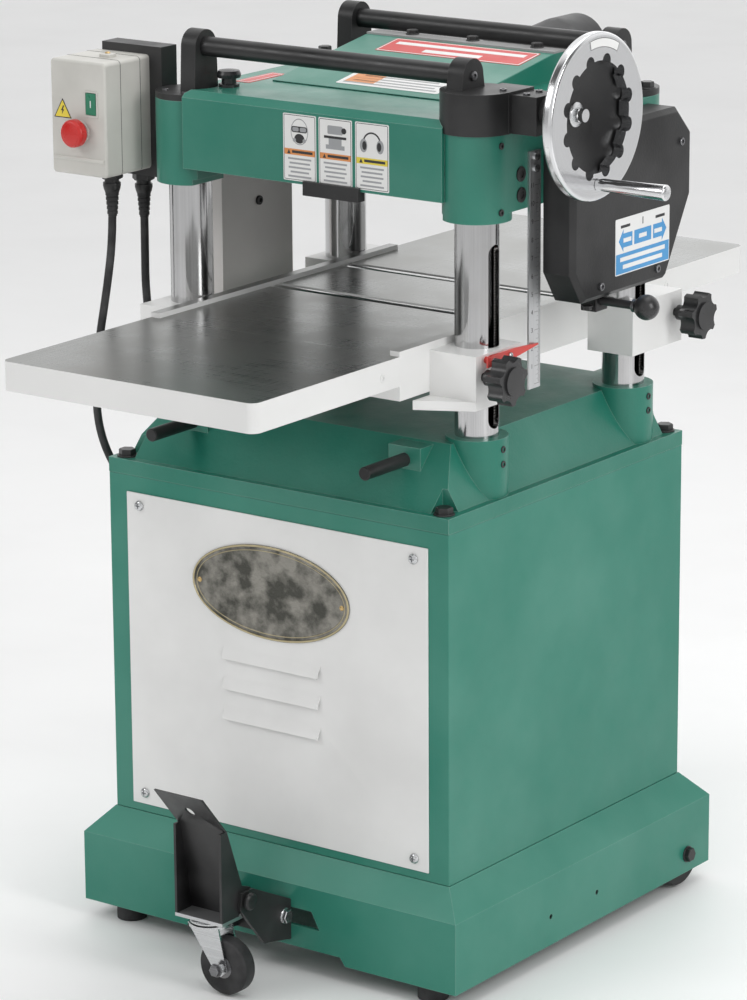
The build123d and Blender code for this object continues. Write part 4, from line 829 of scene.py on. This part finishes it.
BLACK_BOLT = (black_enamel, "black_paint")
DARK_BOLT = (dark_steel, "dark_steel")
ZINC_BOLT = (zinc, "zinc")
LEVER_PIVOT = (-0.433, 0.135)
HEAD_DECK = 1.2218


def make_base():
    """Bolts and plugs of the mobile base, the caster's bearing and hub."""
    ear, side_x, front = high("hinge_bracket").x, plinth_high.x, plinth_low.y
    holes = [(side_x - 0.0045, y, plinth_low.z + 0.043) for y in (-0.095, 0.025)]
    fasten("side_thread", socket_head, (0.0048, 0.003), "frame", BLACK_BOLT, holes, X)
    cap = [(0.0125, 0.0), (0.0125, 0.003), (0.010, 0.0055), (0.004, 0.0068), (0.0, 0.0069)]
    for sign, side in ((1, "right"), (-1, "left")):
        wheel = middle(f"rear_wheel_{side}")
        fasten(f"axle_bolt_{side}", hex_head, (0.011, 0.007, 0.0125), "frame", BLACK_BOLT,
               [(sign * side_x, wheel.y, wheel.z)], (sign, 0, 0))
        add(f"pivot_cap_{side}", lathe(cap), "frame", BLACK_BOLT, on((sign * ear, *LEVER_PIVOT), (sign, 0, 0)))
        fasten(f"bracket_bolt_{side}", hex_head, (0.0105, 0.006, 0.0115), "frame", ZINC_BOLT,
               [(sign * (ear - 0.004), front - 0.014, 0.086)], (sign, 0, 0))
    for x, end in ((-0.024, "a"), (0.024, "b")):
        fasten(f"bracket_screw_{end}", socket_head, (0.0065, 0.006), "frame", DARK_BOLT,
               [(x, front - 0.005, 0.088)], -Y)
    fork_low, fork_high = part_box("caster_fork")
    race = [(0.0255, 0.0), (0.0285, 0.0012), (0.0285, 0.0035), (0.0262, 0.0045), (0.0240, 0.0058)]
    add("swivel_race", lathe(race, 48), "foot_lever", ZINC_BOLT,
        on((0.0, middle("caster_fork").y, fork_high.z + 0.0008), Z))
    tyre_low, tyre_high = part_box("caster_wheel")
    axle = middle("caster_wheel")
    add("axle_head", hex_head(0.0085, 0.005, 0.0100), "caster_fork", DARK_BOLT,
        on((axle.x, fork_low.y + 0.0038, axle.z), -Y))
    add("axle_nut", hex_head(0.0080, 0.005, 0.0095), "caster_fork", DARK_BOLT,
        on((axle.x, fork_high.y - 0.0038, axle.z), Y))
    hub = [(0.0062, 0.0), (0.0150, 0.0), (0.0160, 0.0008), (0.0062, 0.0012)]
    for sign, face, end in ((-1, tyre_low.y, "front"), (1, tyre_high.y, "rear")):
        add(f"wheel_hub_{end}", lathe(hub, 40), "caster_wheel", DARK_BOLT,
            on((axle.x, face - sign * 0.0002, axle.z), (0, sign, 0)))
    foot = [(0.0195, 0.0), (0.0195, 0.003), (0.006, 0.0035), (0.006, 0.010)]
    corners = [(x, y) for x in (-0.272, 0.272) for y in (-0.300, 0.300)]
    for number, (x, y) in enumerate(corners):
        add(f"foot_stud_{number + 1}", lathe(foot, 32), "frame", ZINC_BOLT, on((x, y, plinth_low.z + 0.0005), Z))


def rivet(radius, height):
    """Domed rivet head."""
    shares = ((1.0, 0.0), (0.95, 0.4), (0.7, 0.8), (0.3, 1.0))
    return lathe([(radius * across, height * up) for across, up in shares], 24)


def make_panel():
    """Panel screws and the plain oval badge with its rivets."""
    face = cabinet_low.y - 0.003
    centre = middle("access_panel")
    corners = [(x, face, z) for x in (-0.241, 0.241) for z in (centre.z - 0.217, centre.z + 0.217)]
    fasten("panel_screw", pan_head, (0.0075, 0.004), "frame", ZINC_BOLT, corners, -Y)
    badge_x, badge_z = -0.006, 0.542
    half_x, half_z = 0.1385, 0.0685
    steps = ((0.0, 0.0), (0.0, 0.0016), (0.0010, 0.0024), (0.0028, 0.0024), (0.0036, 0.0012), (0.0068, 0.0012),
             (0.0074, 0.0018), (0.0084, 0.0018), (0.0092, 0.0011))
    rings = [(ellipse(half_x - inset, half_z - inset), height) for inset, height in steps]
    look = Look("badge_metal", (0.2, 0.2, 0.2), 0.4, 1.0)
    blotches = look.span(look.noise(38.0, 9.0), 0.38, 0.62)
    raised = look.span(look.y, face - 0.0021, face - 0.0012)
    ground = look.mixed(blotches, (0.085, 0.085, 0.075), (0.30, 0.29, 0.26))
    look.paint("Base Color", look.mixed(raised, (0.50, 0.43, 0.27), ground))
    look.paint("Roughness", look.between(raised, 0.28, 0.42))
    look.bump(look.calc("ADD", look.noise(260.0, 4.0), look.noise(38.0, 9.0)), 0.0012)
    mesh = moved(loft(rings), on((badge_x, face, badge_z), -Y, X))
    add("badge_plate", mesh, "frame", (look, "ground_iron"))
    rivets = [(badge_x + side * 0.1255, face - 0.0012, badge_z) for side in (-1, 1)]
    fasten("badge_rivet", rivet, (0.0038, 0.0016), "frame", (brass, "ground_iron"), rivets, -Y)


def make_casting():
    """Hold-down bolts and nuts and the set screws of the lower casting."""
    deck = cabinet_high.z
    spots = [(x, y, deck + 0.022) for x in (-0.278, 0.278) for y in (-0.280, 0.281)]
    fasten("casting_bolt", hex_head, (0.0125, 0.0085, 0.0150), "frame", BLACK_BOLT, spots, Z)
    under = [(x, y, deck + 0.0005) for x in (-0.287, 0.287) for y in (-0.287, 0.287)]
    fasten("casting_nut", hex_head, (0.0075, 0.004, 0.0), "frame", BLACK_BOLT, under, -Z)
    for end in ("front", "rear"):
        y = middle(f"column_{end}_right").y
        for sign, side in ((-1, "left"), (1, "right")):
            spots = [(sign * 0.2918, y, z) for z in (0.765, 0.744)]
            fasten(f"set_screw_{end}_{side}", socket_head, (0.0050, 0.0026), "frame", BLACK_BOLT, spots, (sign, 0, 0))


def make_table():
    """Plugs beside the wing joints and the pointer's screws."""
    for name, y in (("infeed", low("table").y - 0.04), ("outfeed", high("table").y + 0.04)):
        for sign, side in ((-1, "left"), (1, "right")):
            fasten(f"{name}_wing_plug_{side}", socket_head, (0.0055, 0.0018), "table", (white_enamel, "ground_iron"),
                   [(sign * 0.2155, y, table_top - 0.022)], (sign, 0, 0))
    spots = [(high("depth_pointer").x - 0.0003, y, middle("depth_pointer").z) for y in (-0.202, -0.162)]
    fasten("pointer_screw", pan_head, (0.0044, 0.0022), "table", ZINC_BOLT, spots, X)


def make_rule():
    """Divisions and numbers on the depth rule."""
    printed = (ink, "scale_aluminium")
    bottom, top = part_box("depth_scale")
    face = bottom.x + 0.003
    per_inch = 16
    pitch = 0.0254 / per_inch
    first, last = bottom.z + 0.006, top.z - 0.040
    count = int((last - first) / pitch)
    ticks = []
    for step in range(count + 1):
        reach = 0.0145 if step % 16 == 0 else 0.0105 if step % 8 == 0 else 0.0075 if step % 4 == 0 else 0.005
        width = 0.00042 if step % per_inch == 0 else 0.0003
        tick = prism(rectangle(-reach, -width / 2, 0.0, width / 2), 0.0, 0.00010)
        ticks.append(moved(tick, on((face, top.y - 0.0006, first + step * pitch), X, Y)))
    add("rule_divisions", joined(ticks), "frame", printed)
    for number in range(1, count // per_inch + 1):
        name = f"rule_number_{number}"
        curve = bpy.data.curves.new(name, "FONT")
        curve.body = str(number)
        curve.size = 0.0095
        curve.extrude = 0.00006
        curve.align_x = "CENTER"
        curve.align_y = "CENTER"
        holder = bpy.data.objects.new("holder", curve)
        mesh = bpy.data.meshes.new_from_object(holder)
        bpy.data.objects.remove(holder)
        mesh.name = name
        add(name, mesh, "frame", printed,
            on((face + 0.00006, bottom.y + 0.0075, first + number * per_inch * pitch), X, Y))
    holes = [(face + 0.003, (bottom.y + top.y) / 2, top.z - drop) for drop in (0.008, 0.024)]
    fasten("rule_screw", pan_head, (0.0052, 0.0028), "frame", BLACK_BOLT, holes, X)


def shifted(outline, dx, dy):
    return [(x + dx, y + dy) for x, y in outline]


def head_marks(kind):
    """Picture, band and lines of one of the three safety cards."""
    stripe = card_yellow if kind == "muffs" else card_orange
    marks = [(rectangle(-0.0270, -0.0455, 0.0270, 0.0455, 0.002), ink, 1),
             (rectangle(-0.0262, -0.0447, 0.0262, 0.0447, 0.0015), card_white, 2),
             (rectangle(-0.0262, -0.0105, 0.0262, -0.0020), stripe, 3),
             ([(-0.0215, -0.0092), (-0.0155, -0.0092), (-0.0185, -0.0034)], ink, 4)]
    marks += text_lines(-0.0130, 0.0225, [-0.0042], 0.0036, ink, 4)
    marks += text_lines(-0.0200, 0.0200, [-0.0145 - 0.0062 * row for row in range(5)], 0.0026, card_grey, 3)
    if kind == "mask":
        marks += [(shifted(ellipse(0.0150, 0.0185, 40), 0, 0.0225), card_grey, 3),
                  (shifted(ellipse(0.0138, 0.0172, 40), 0, 0.0225), card_white, 4),
                  (shifted(rectangle(-0.0135, -0.0040, 0.0135, 0.0045, 0.003), 0, 0.0255), ink, 5),
                  (shifted(rectangle(-0.0118, -0.0026, -0.0010, 0.0032, 0.002), 0, 0.0255), card_grey, 6),
                  (shifted(rectangle(0.0010, -0.0026, 0.0118, 0.0032, 0.002), 0, 0.0255), card_grey, 6),
                  (shifted(ellipse(0.0085, 0.0068, 32), 0, 0.0130), ink, 5)]
        marks += [(shifted(circle(0.0028, 20), x, 0.0105), card_grey, 6) for x in (-0.0085, 0.0085)]
    elif kind == "machine":
        marks += [(rectangle(-0.0160, 0.0040, 0.0160, 0.0100), card_grey, 3),
                  (rectangle(-0.0110, 0.0100, 0.0110, 0.0190), card_grey, 4),
                  (rectangle(-0.0190, 0.0190, 0.0190, 0.0225), ink, 4),
                  (rectangle(-0.0130, 0.0250, 0.0130, 0.0370, 0.002), card_grey, 3),
                  (shifted(circle(0.0042, 24), 0.0150, 0.0310), ink, 4)]
    else:
        angles = [math.pi * step / 16 for step in range(17)]
        arc = [(0.0155 * math.cos(angle), 0.0155 * math.sin(angle)) for angle in angles]
        arc += [(0.0132 * math.cos(angle), 0.0132 * math.sin(angle)) for angle in angles[::-1]]
        marks.append((shifted(arc, 0, 0.0190), ink, 3))
        marks += [(shifted(ellipse(0.0062, 0.0095, 28), x, 0.0150), card_grey, 4) for x in (-0.0140, 0.0140)]
        marks += [(shifted(ellipse(0.0036, 0.0062, 28), x, 0.0150), ink, 5) for x in (-0.0125, 0.0125)]
    return marks


def make_head():
    """Cards, plugs and knobs on the head."""
    for kind, x in (("mask", -0.016), ("machine", 0.0455), ("muffs", 0.108)):
        card(f"card_{kind}", "frame", "white_paint", on((x, front_face, 1.161), -Y, X),
             (rectangle(-0.0285, -0.047, 0.0285, 0.047, 0.002), card_white), head_marks(kind))
    rise = math.atan2(0.036, 0.225)
    slope = Vector((0, -math.sin(rise), math.cos(rise)))

    def on_slope(x, y):
        return on((x, y, cover_low.z + 0.002 + (y - cover_low.y) * math.tan(rise)), slope, -X)

    marks = [(rectangle(-0.1245, -0.0275, 0.1245, 0.0275, 0.002), card_white, 1),
             (rectangle(-0.1225, -0.0255, 0.1225, 0.0255, 0.0015), card_red, 2)]
    marks += text_lines(-0.112, 0.112, [-0.004], 0.011, card_white, 3)
    marks += text_lines(-0.050, 0.050, [0.019], 0.012, card_white, 3)
    card("cover_card_red", "frame", "green_sheet", on_slope(0.022, 0.118),
         (rectangle(-0.126, -0.029, 0.126, 0.029, 0.003), card_red), marks)
    lines = text_lines(-0.080, 0.080, [0.024 - 0.0105 * row for row in range(5)], 0.0045, card_grey, 1)
    lines.append((rectangle(0.030, -0.026, 0.080, 0.020), card_orange, 1))
    card("cover_card_white", "frame", "green_sheet", on_slope(0.022, -0.027),
         (rectangle(-0.088, -0.031, 0.088, 0.031, 0.003), card_white), lines)
    card("deck_card", "frame", "green_sheet", on((-0.196, -0.062, HEAD_DECK), Z, Y),
         (rectangle(-0.045, -0.013, 0.045, 0.013, 0.002), card_red),
         [(rectangle(-0.041, -0.009, 0.041, 0.009), card_white, 1),
          (rectangle(-0.039, -0.0072, 0.039, 0.0072), card_red, 2)])
    card("side_plate", "frame", "green_sheet", on((-0.2972, -0.1665, 1.170), -X, Y),
         (rectangle(-0.010, -0.020, 0.010, 0.020, 0.002), card_grey),
         [(rectangle(-0.008, -0.017, 0.008, 0.017), card_white, 1)])
    right = head_high.x - 0.0005
    fasten("side_plug", socket_head, (0.0105, 0.0025), "frame", BLACK_BOLT,
           [(right, -0.125, 1.145), (right, -0.124, 1.116)], X)
    fasten("boss_screw", socket_head, (0.0048, 0.0025), "frame", BLACK_BOLT,
           [(0.2955, -0.1705, 1.0985), (0.2955, -0.1705, 1.190)], X)
    knob = [(0.0150, 0.0), (0.0150, 0.004), (0.0105, 0.005), (0.0105, 0.012), (0.0165, 0.013), (0.0175, 0.018),
            (0.0150, 0.023), (0.0060, 0.0245)]
    add("deck_knob", lathe(knob, 28), "frame", (knob_plastic, "black_plastic"), on((-0.189, -0.144, HEAD_DECK), Z))
    for sign, side in ((-1, "left"), (1, "right")):
        for end, z in (("front", 1.2788), ("rear", 1.2718)):
            fasten(f"axle_end_{end}_{side}", socket_head, (0.0068, 0.0028), "frame", DARK_BOLT,
                   [(sign * 0.2428, middle(f"column_{end}_{side}").y, z)], (sign, 0, 0))
    cap_top = 1.2137
    caps = [(-0.249 + 0.034 * math.cos(angle), -0.160 + 0.034 * math.sin(angle), cap_top)
            for angle in (2.4, 3.9, 5.2)]
    fasten("cap_screw", socket_head, (0.0045, 0.0026), "frame", DARK_BOLT, caps, Z)
    top = high("gear_cap").z
    spots = [(0.222, -0.140, top), (0.285, -0.150, top), (0.318, -0.112, top - 0.004), (0.318, -0.142, top - 0.004)]
    fasten("gear_cap_screw", socket_head, (0.0048, 0.0028), "frame", DARK_BOLT, spots, Z)
    hood = [(x, 0.173, high("top_cover").z + 0.003) for x in (-0.096, 0.011, 0.123)]
    fasten("hood_screw", hex_head, (0.0085, 0.0055, 0.0100), "frame", BLACK_BOLT, hood, Z)
    fasten("cap_bolt", hex_head, (0.0100, 0.0080, 0.0125), "frame", BLACK_BOLT,
           [(x, 0.212, cap_top) for x in (0.285, -0.285)], Z)
    guard = [(high("belt_guard").x, 0.063, z) for z in (1.012, 0.760)]
    fasten("guard_screw", socket_head, (0.0070, 0.0035), "frame", BLACK_BOLT, guard, X)


def make_handwheel():
    """Hub nut and washer, the blank arc plate and the handle's end cap."""
    bright = (satin_chrome, "chrome")
    wheel = middle("handwheel")
    rim_face = low("handwheel_handle").x - 0.0005
    washer = [(0.0170, 0.0), (0.0170, 0.0016), (0.0160, 0.0022), (0.0088, 0.0022)]
    nut = [(hexagon(0.0105), 0.0), (hexagon(0.0105), 0.006), (hexagon(0.0092), 0.0072), (circle(0.0050, 36), 0.0072)]
    add("hub_washer", lathe(washer, 40), "handwheel", bright, on((rim_face - 0.036, wheel.y, wheel.z), X))
    add("hub_nut", loft(nut), "handwheel", bright, on((rim_face - 0.0338, wheel.y, wheel.z), X))
    centre, half, steps = math.radians(82), math.radians(21), 20
    outer, inner = 0.1075, 0.0925

    def sector(edge, end):
        """Part of a ring between the plate's radii, drawn in from its edges and ends."""
        points = []
        for radius, way in ((outer - edge, 1), (inner + edge, -1)):
            sweep = half - end / radius
            angles = [centre - sweep + 2 * sweep * step / steps for step in range(steps + 1)][::way]
            points += [(radius * math.cos(angle), radius * math.sin(angle)) for angle in angles]
        return points

    card("wheel_plate", "handwheel", "chrome", on((rim_face, wheel.y, wheel.z), X, Y),
         (sector(0.0, 0.0), satin_chrome),
         [(sector(0.0012, 0.0014), ink, 1), (sector(0.0020, 0.0024), card_white, 2)])
    handle = middle("handwheel_handle")
    cap = [(0.0072, 0.0), (0.0072, 0.0006), (0.0050, 0.0012), (0.0030, 0.0013)]
    add("handle_cap", lathe(cap, 32), "handle", bright,
        on((high("handwheel_handle").x - 0.0003, handle.y, handle.z), X))


def make_gearbox():
    """Speed card and screws of the feed gearbox, and the shift rod's collar."""
    face = gear_high.x
    arrow = [(-0.062, 0.008), (-0.050, 0.024), (-0.050, 0.018), (-0.027, 0.018), (-0.027, -0.002), (-0.050, -0.002),
             (-0.050, -0.008)]
    marks = [(rectangle(-0.0685, -0.0385, 0.0685, 0.0385, 0.002), card_white, 1),
             (rectangle(-0.0685, -0.0385, 0.0685, -0.0100), card_blue, 2),
             (arrow, card_blue, 2), ([(-x, y) for x, y in arrow[::-1]], card_blue, 2),
             (rectangle(-0.022, -0.002, 0.022, 0.018), card_blue, 2),
             (rectangle(-0.001, 0.024, 0.001, 0.034), ink, 2)]
    marks += [(rectangle(x - 0.010, 0.005, x + 0.010, 0.011), card_white, 3) for x in (-0.040, 0.0, 0.040)]
    marks += [(rectangle(x - 0.012, 0.026, x + 0.012, 0.030), ink, 2) for x in (-0.045, 0.045)]
    marks += text_lines(-0.058, 0.058, [-0.0155, -0.0265], 0.0060, card_white, 3)
    card("speed_card", "frame", "black_paint", on((face, 0.106, 1.0195), X, Y),
         (rectangle(-0.070, -0.040, 0.070, 0.040, 0.002), card_white), marks)
    fasten("gearbox_screw", socket_head, (0.0055, 0.0035), "frame", DARK_BOLT,
           [(face, -0.045, 1.145), (face, 0.205, 1.145), (face, 0.145, 0.972), (face, 0.0, 0.972)], X)
    fasten("gearbox_foot_screw", hex_head, (0.0065, 0.0050, 0.0080), "frame", BLACK_BOLT,
           [(gear_low.x + 0.020, y, gear_low.z + 0.012) for y in (0.012, 0.068)], -Z)
    collar = [(0.0062, 0.0), (0.0095, 0.0004), (0.0095, 0.0050), (0.0062, 0.0054)]
    add("shift_collar", lathe(collar, 28), "shift_rod", DARK_BOLT,
        on((high("shift_rod").x - 0.0395, middle("shift_rod").y, 0.9415), X))


def make_switch():
    """Cover line, push marks, warning triangle and gland nuts of the switch."""
    face = switch_low.y
    shade = Look("switch_seam", (0.18, 0.18, 0.17), 0.6)
    shade.paint("Base Color", shade.mixed(shade.noise(300.0), (0.10, 0.10, 0.095), (0.2, 0.2, 0.19)))
    left, right = switch_low.x, -0.319
    bottom, top = 1.0928, 1.2578
    outer = rectangle(left - 0.0004, bottom - 0.0004, right + 0.0004, top + 0.0004, 0.0064)
    inner = rectangle(left + 0.0002, bottom + 0.0002, right - 0.0002, top - 0.0002, 0.0058)
    for number, y in enumerate((face + 0.034, face + 0.078)):
        rows = [[(x, y + depth, z) for x, z in outline]
                for outline, depth in ((outer, 0.0), (outer, 0.0009), (inner, 0.0009), (inner, 0.0))]
        add(f"switch_seam_{number + 1}", hoop(rows), "frame", (shade, "grey_plastic"))
    grey = (plastic("switch_grey", (0.60, 0.59, 0.55), 0.40), "grey_plastic")
    latch_foot, latch_top = [rectangle(-x, -y, x, y, 0.002) for x, y in ((0.010, 0.008), (0.008, 0.006))]
    add("switch_latch", loft([(latch_foot, 0.0), (latch_foot, 0.004), (latch_top, 0.0052)]), "frame", grey,
        on((-0.356, face + 0.052, 1.2577), Z, X))
    add("latch_screw", pan_head(0.0040, 0.0022), "frame", (brass, "grey_plastic"),
        on((-0.356, face + 0.052, 1.2628), Z))
    rib_foot, rib_top = [rectangle(-x, -y, x, y, 0.001) for x, y in ((0.046, 0.003), (0.045, 0.002))]
    add("switch_rib", loft([(rib_foot, 0.0), (rib_foot, 0.0010), (rib_top, 0.0016)]), "frame", grey,
        on(((left + right) / 2, face, 1.116), -Y, X))

    def triangle(radius):
        return [(radius * math.cos(angle), radius * math.sin(angle))
                for angle in (math.radians(90 + 120 * corner) for corner in range(3))]

    flash = [(0.0012, 0.0092), (-0.0034, 0.0010), (-0.0004, 0.0012), (-0.0016, -0.0052), (0.0034, 0.0030),
             (0.0006, 0.0028), (0.0034, 0.0092)]
    card("switch_triangle", "frame", "grey_plastic", on((-0.398, face, 1.183), -Y, X), (triangle(0.0185), ink),
         [(triangle(0.0185 * 0.86), card_yellow, 1), ([(x * 0.9, y * 0.9) for x, y in flash], ink, 2)])
    start, stop = middle("start_button"), middle("stop_button")
    frame_out = rectangle(-0.0125, -0.0190, 0.0125, 0.0190, 0.002)
    frame_in = rectangle(-0.0098, -0.0163, 0.0098, 0.0163, 0.001)
    add("start_frame", band([(frame_out, 0.0), (frame_out, 0.0014), (frame_in, 0.0014), (frame_in, 0.0)]), "frame",
        grey, on((start.x, face, start.z), -Y, X))
    add("start_mark", prism(rectangle(-0.0008, -0.005, 0.0008, 0.005), 0.0, 0.0003), "start_button",
        (card_white, "green_plastic"), on((start.x, low("start_button").y, start.z), -Y, X))
    dome = [(0.0155, 0.0), (0.0150, 0.0006), (0.0110, 0.0016), (0.0060, 0.0021), (0.0020, 0.0022)]
    add("stop_dome", lathe(dome, 40), "stop_button", (red_plastic, "red_plastic"),
        on((stop.x, low("stop_button").y + 0.0001, stop.z), -Y))
    # low enough for the pushed button to clear it
    collar = [(0.0130, 0.0), (0.0165, 0.0), (0.0165, 0.0010), (0.0158, 0.0016), (0.0130, 0.0016)]
    add("stop_collar", band([(circle(radius, 40), height) for radius, height in collar]), "frame", grey,
        on((stop.x, face, stop.z), -Y))
    black = (black_plastic, "black_plastic")
    nut = [(hexagon(0.0165), 0.0), (hexagon(0.0165), 0.0085), (hexagon(0.0150), 0.0100), (circle(0.0110, 36), 0.0100)]
    dome = [(0.0128, 0.0), (0.0130, 0.004), (0.0118, 0.010), (0.0100, 0.014)]
    for name, (x, y, z) in (("switch_gland_nut_a", MOTOR_LEAD[0]), ("switch_gland_nut_b", SUPPLY_LEAD[0])):
        add(name, loft(nut), "frame", black, on((x, y, z + 0.0305), -Z))
        add(f"{name}_dome", lathe(dome, 32), "frame", black, on((x, y, z + 0.0142), -Z))
    x, y, z = MOTOR_LEAD[-1]
    nut = [(hexagon(0.0150), 0.0), (hexagon(0.0150), 0.0070), (hexagon(0.0136), 0.0085), (circle(0.0110, 36), 0.0085)]
    add("inlet_gland_nut", loft(nut), "frame", black, on((x, y, z - 0.0195), Z))
    spots = [(x - 0.018, y + side, z - 0.064 + rise) for side in (-0.014, 0.014) for rise in (-0.020, 0.020)]
    fasten("inlet_screw", pan_head, (0.0032, 0.0018), "frame", ZINC_BOLT, spots, -X)


def make_floor():
    look = Look("studio_floor", (0.86, 0.86, 0.86), 0.55)
    tone = look.mixed(look.span(look.noise(3.0, 4.0), 0.3, 0.7), (0.93, 0.93, 0.93), (0.97, 0.97, 0.97))
    look.paint("Base Color", tone)
    mesh = bmesh.new()
    bmesh.ops.create_grid(mesh, x_segments=2, y_segments=2, size=12.0)
    data = bpy.data.meshes.new("floor")
    mesh.to_mesh(data)
    mesh.free()
    data.materials.append(look.material)
    floor = bpy.data.objects.new("floor", data)
    bpy.context.collection.objects.link(floor)
    floor.location.z = -0.0005


for make in (make_base, make_panel, make_casting, make_table, make_rule, make_head, make_handwheel, make_gearbox,
             make_switch, make_floor):
    make()
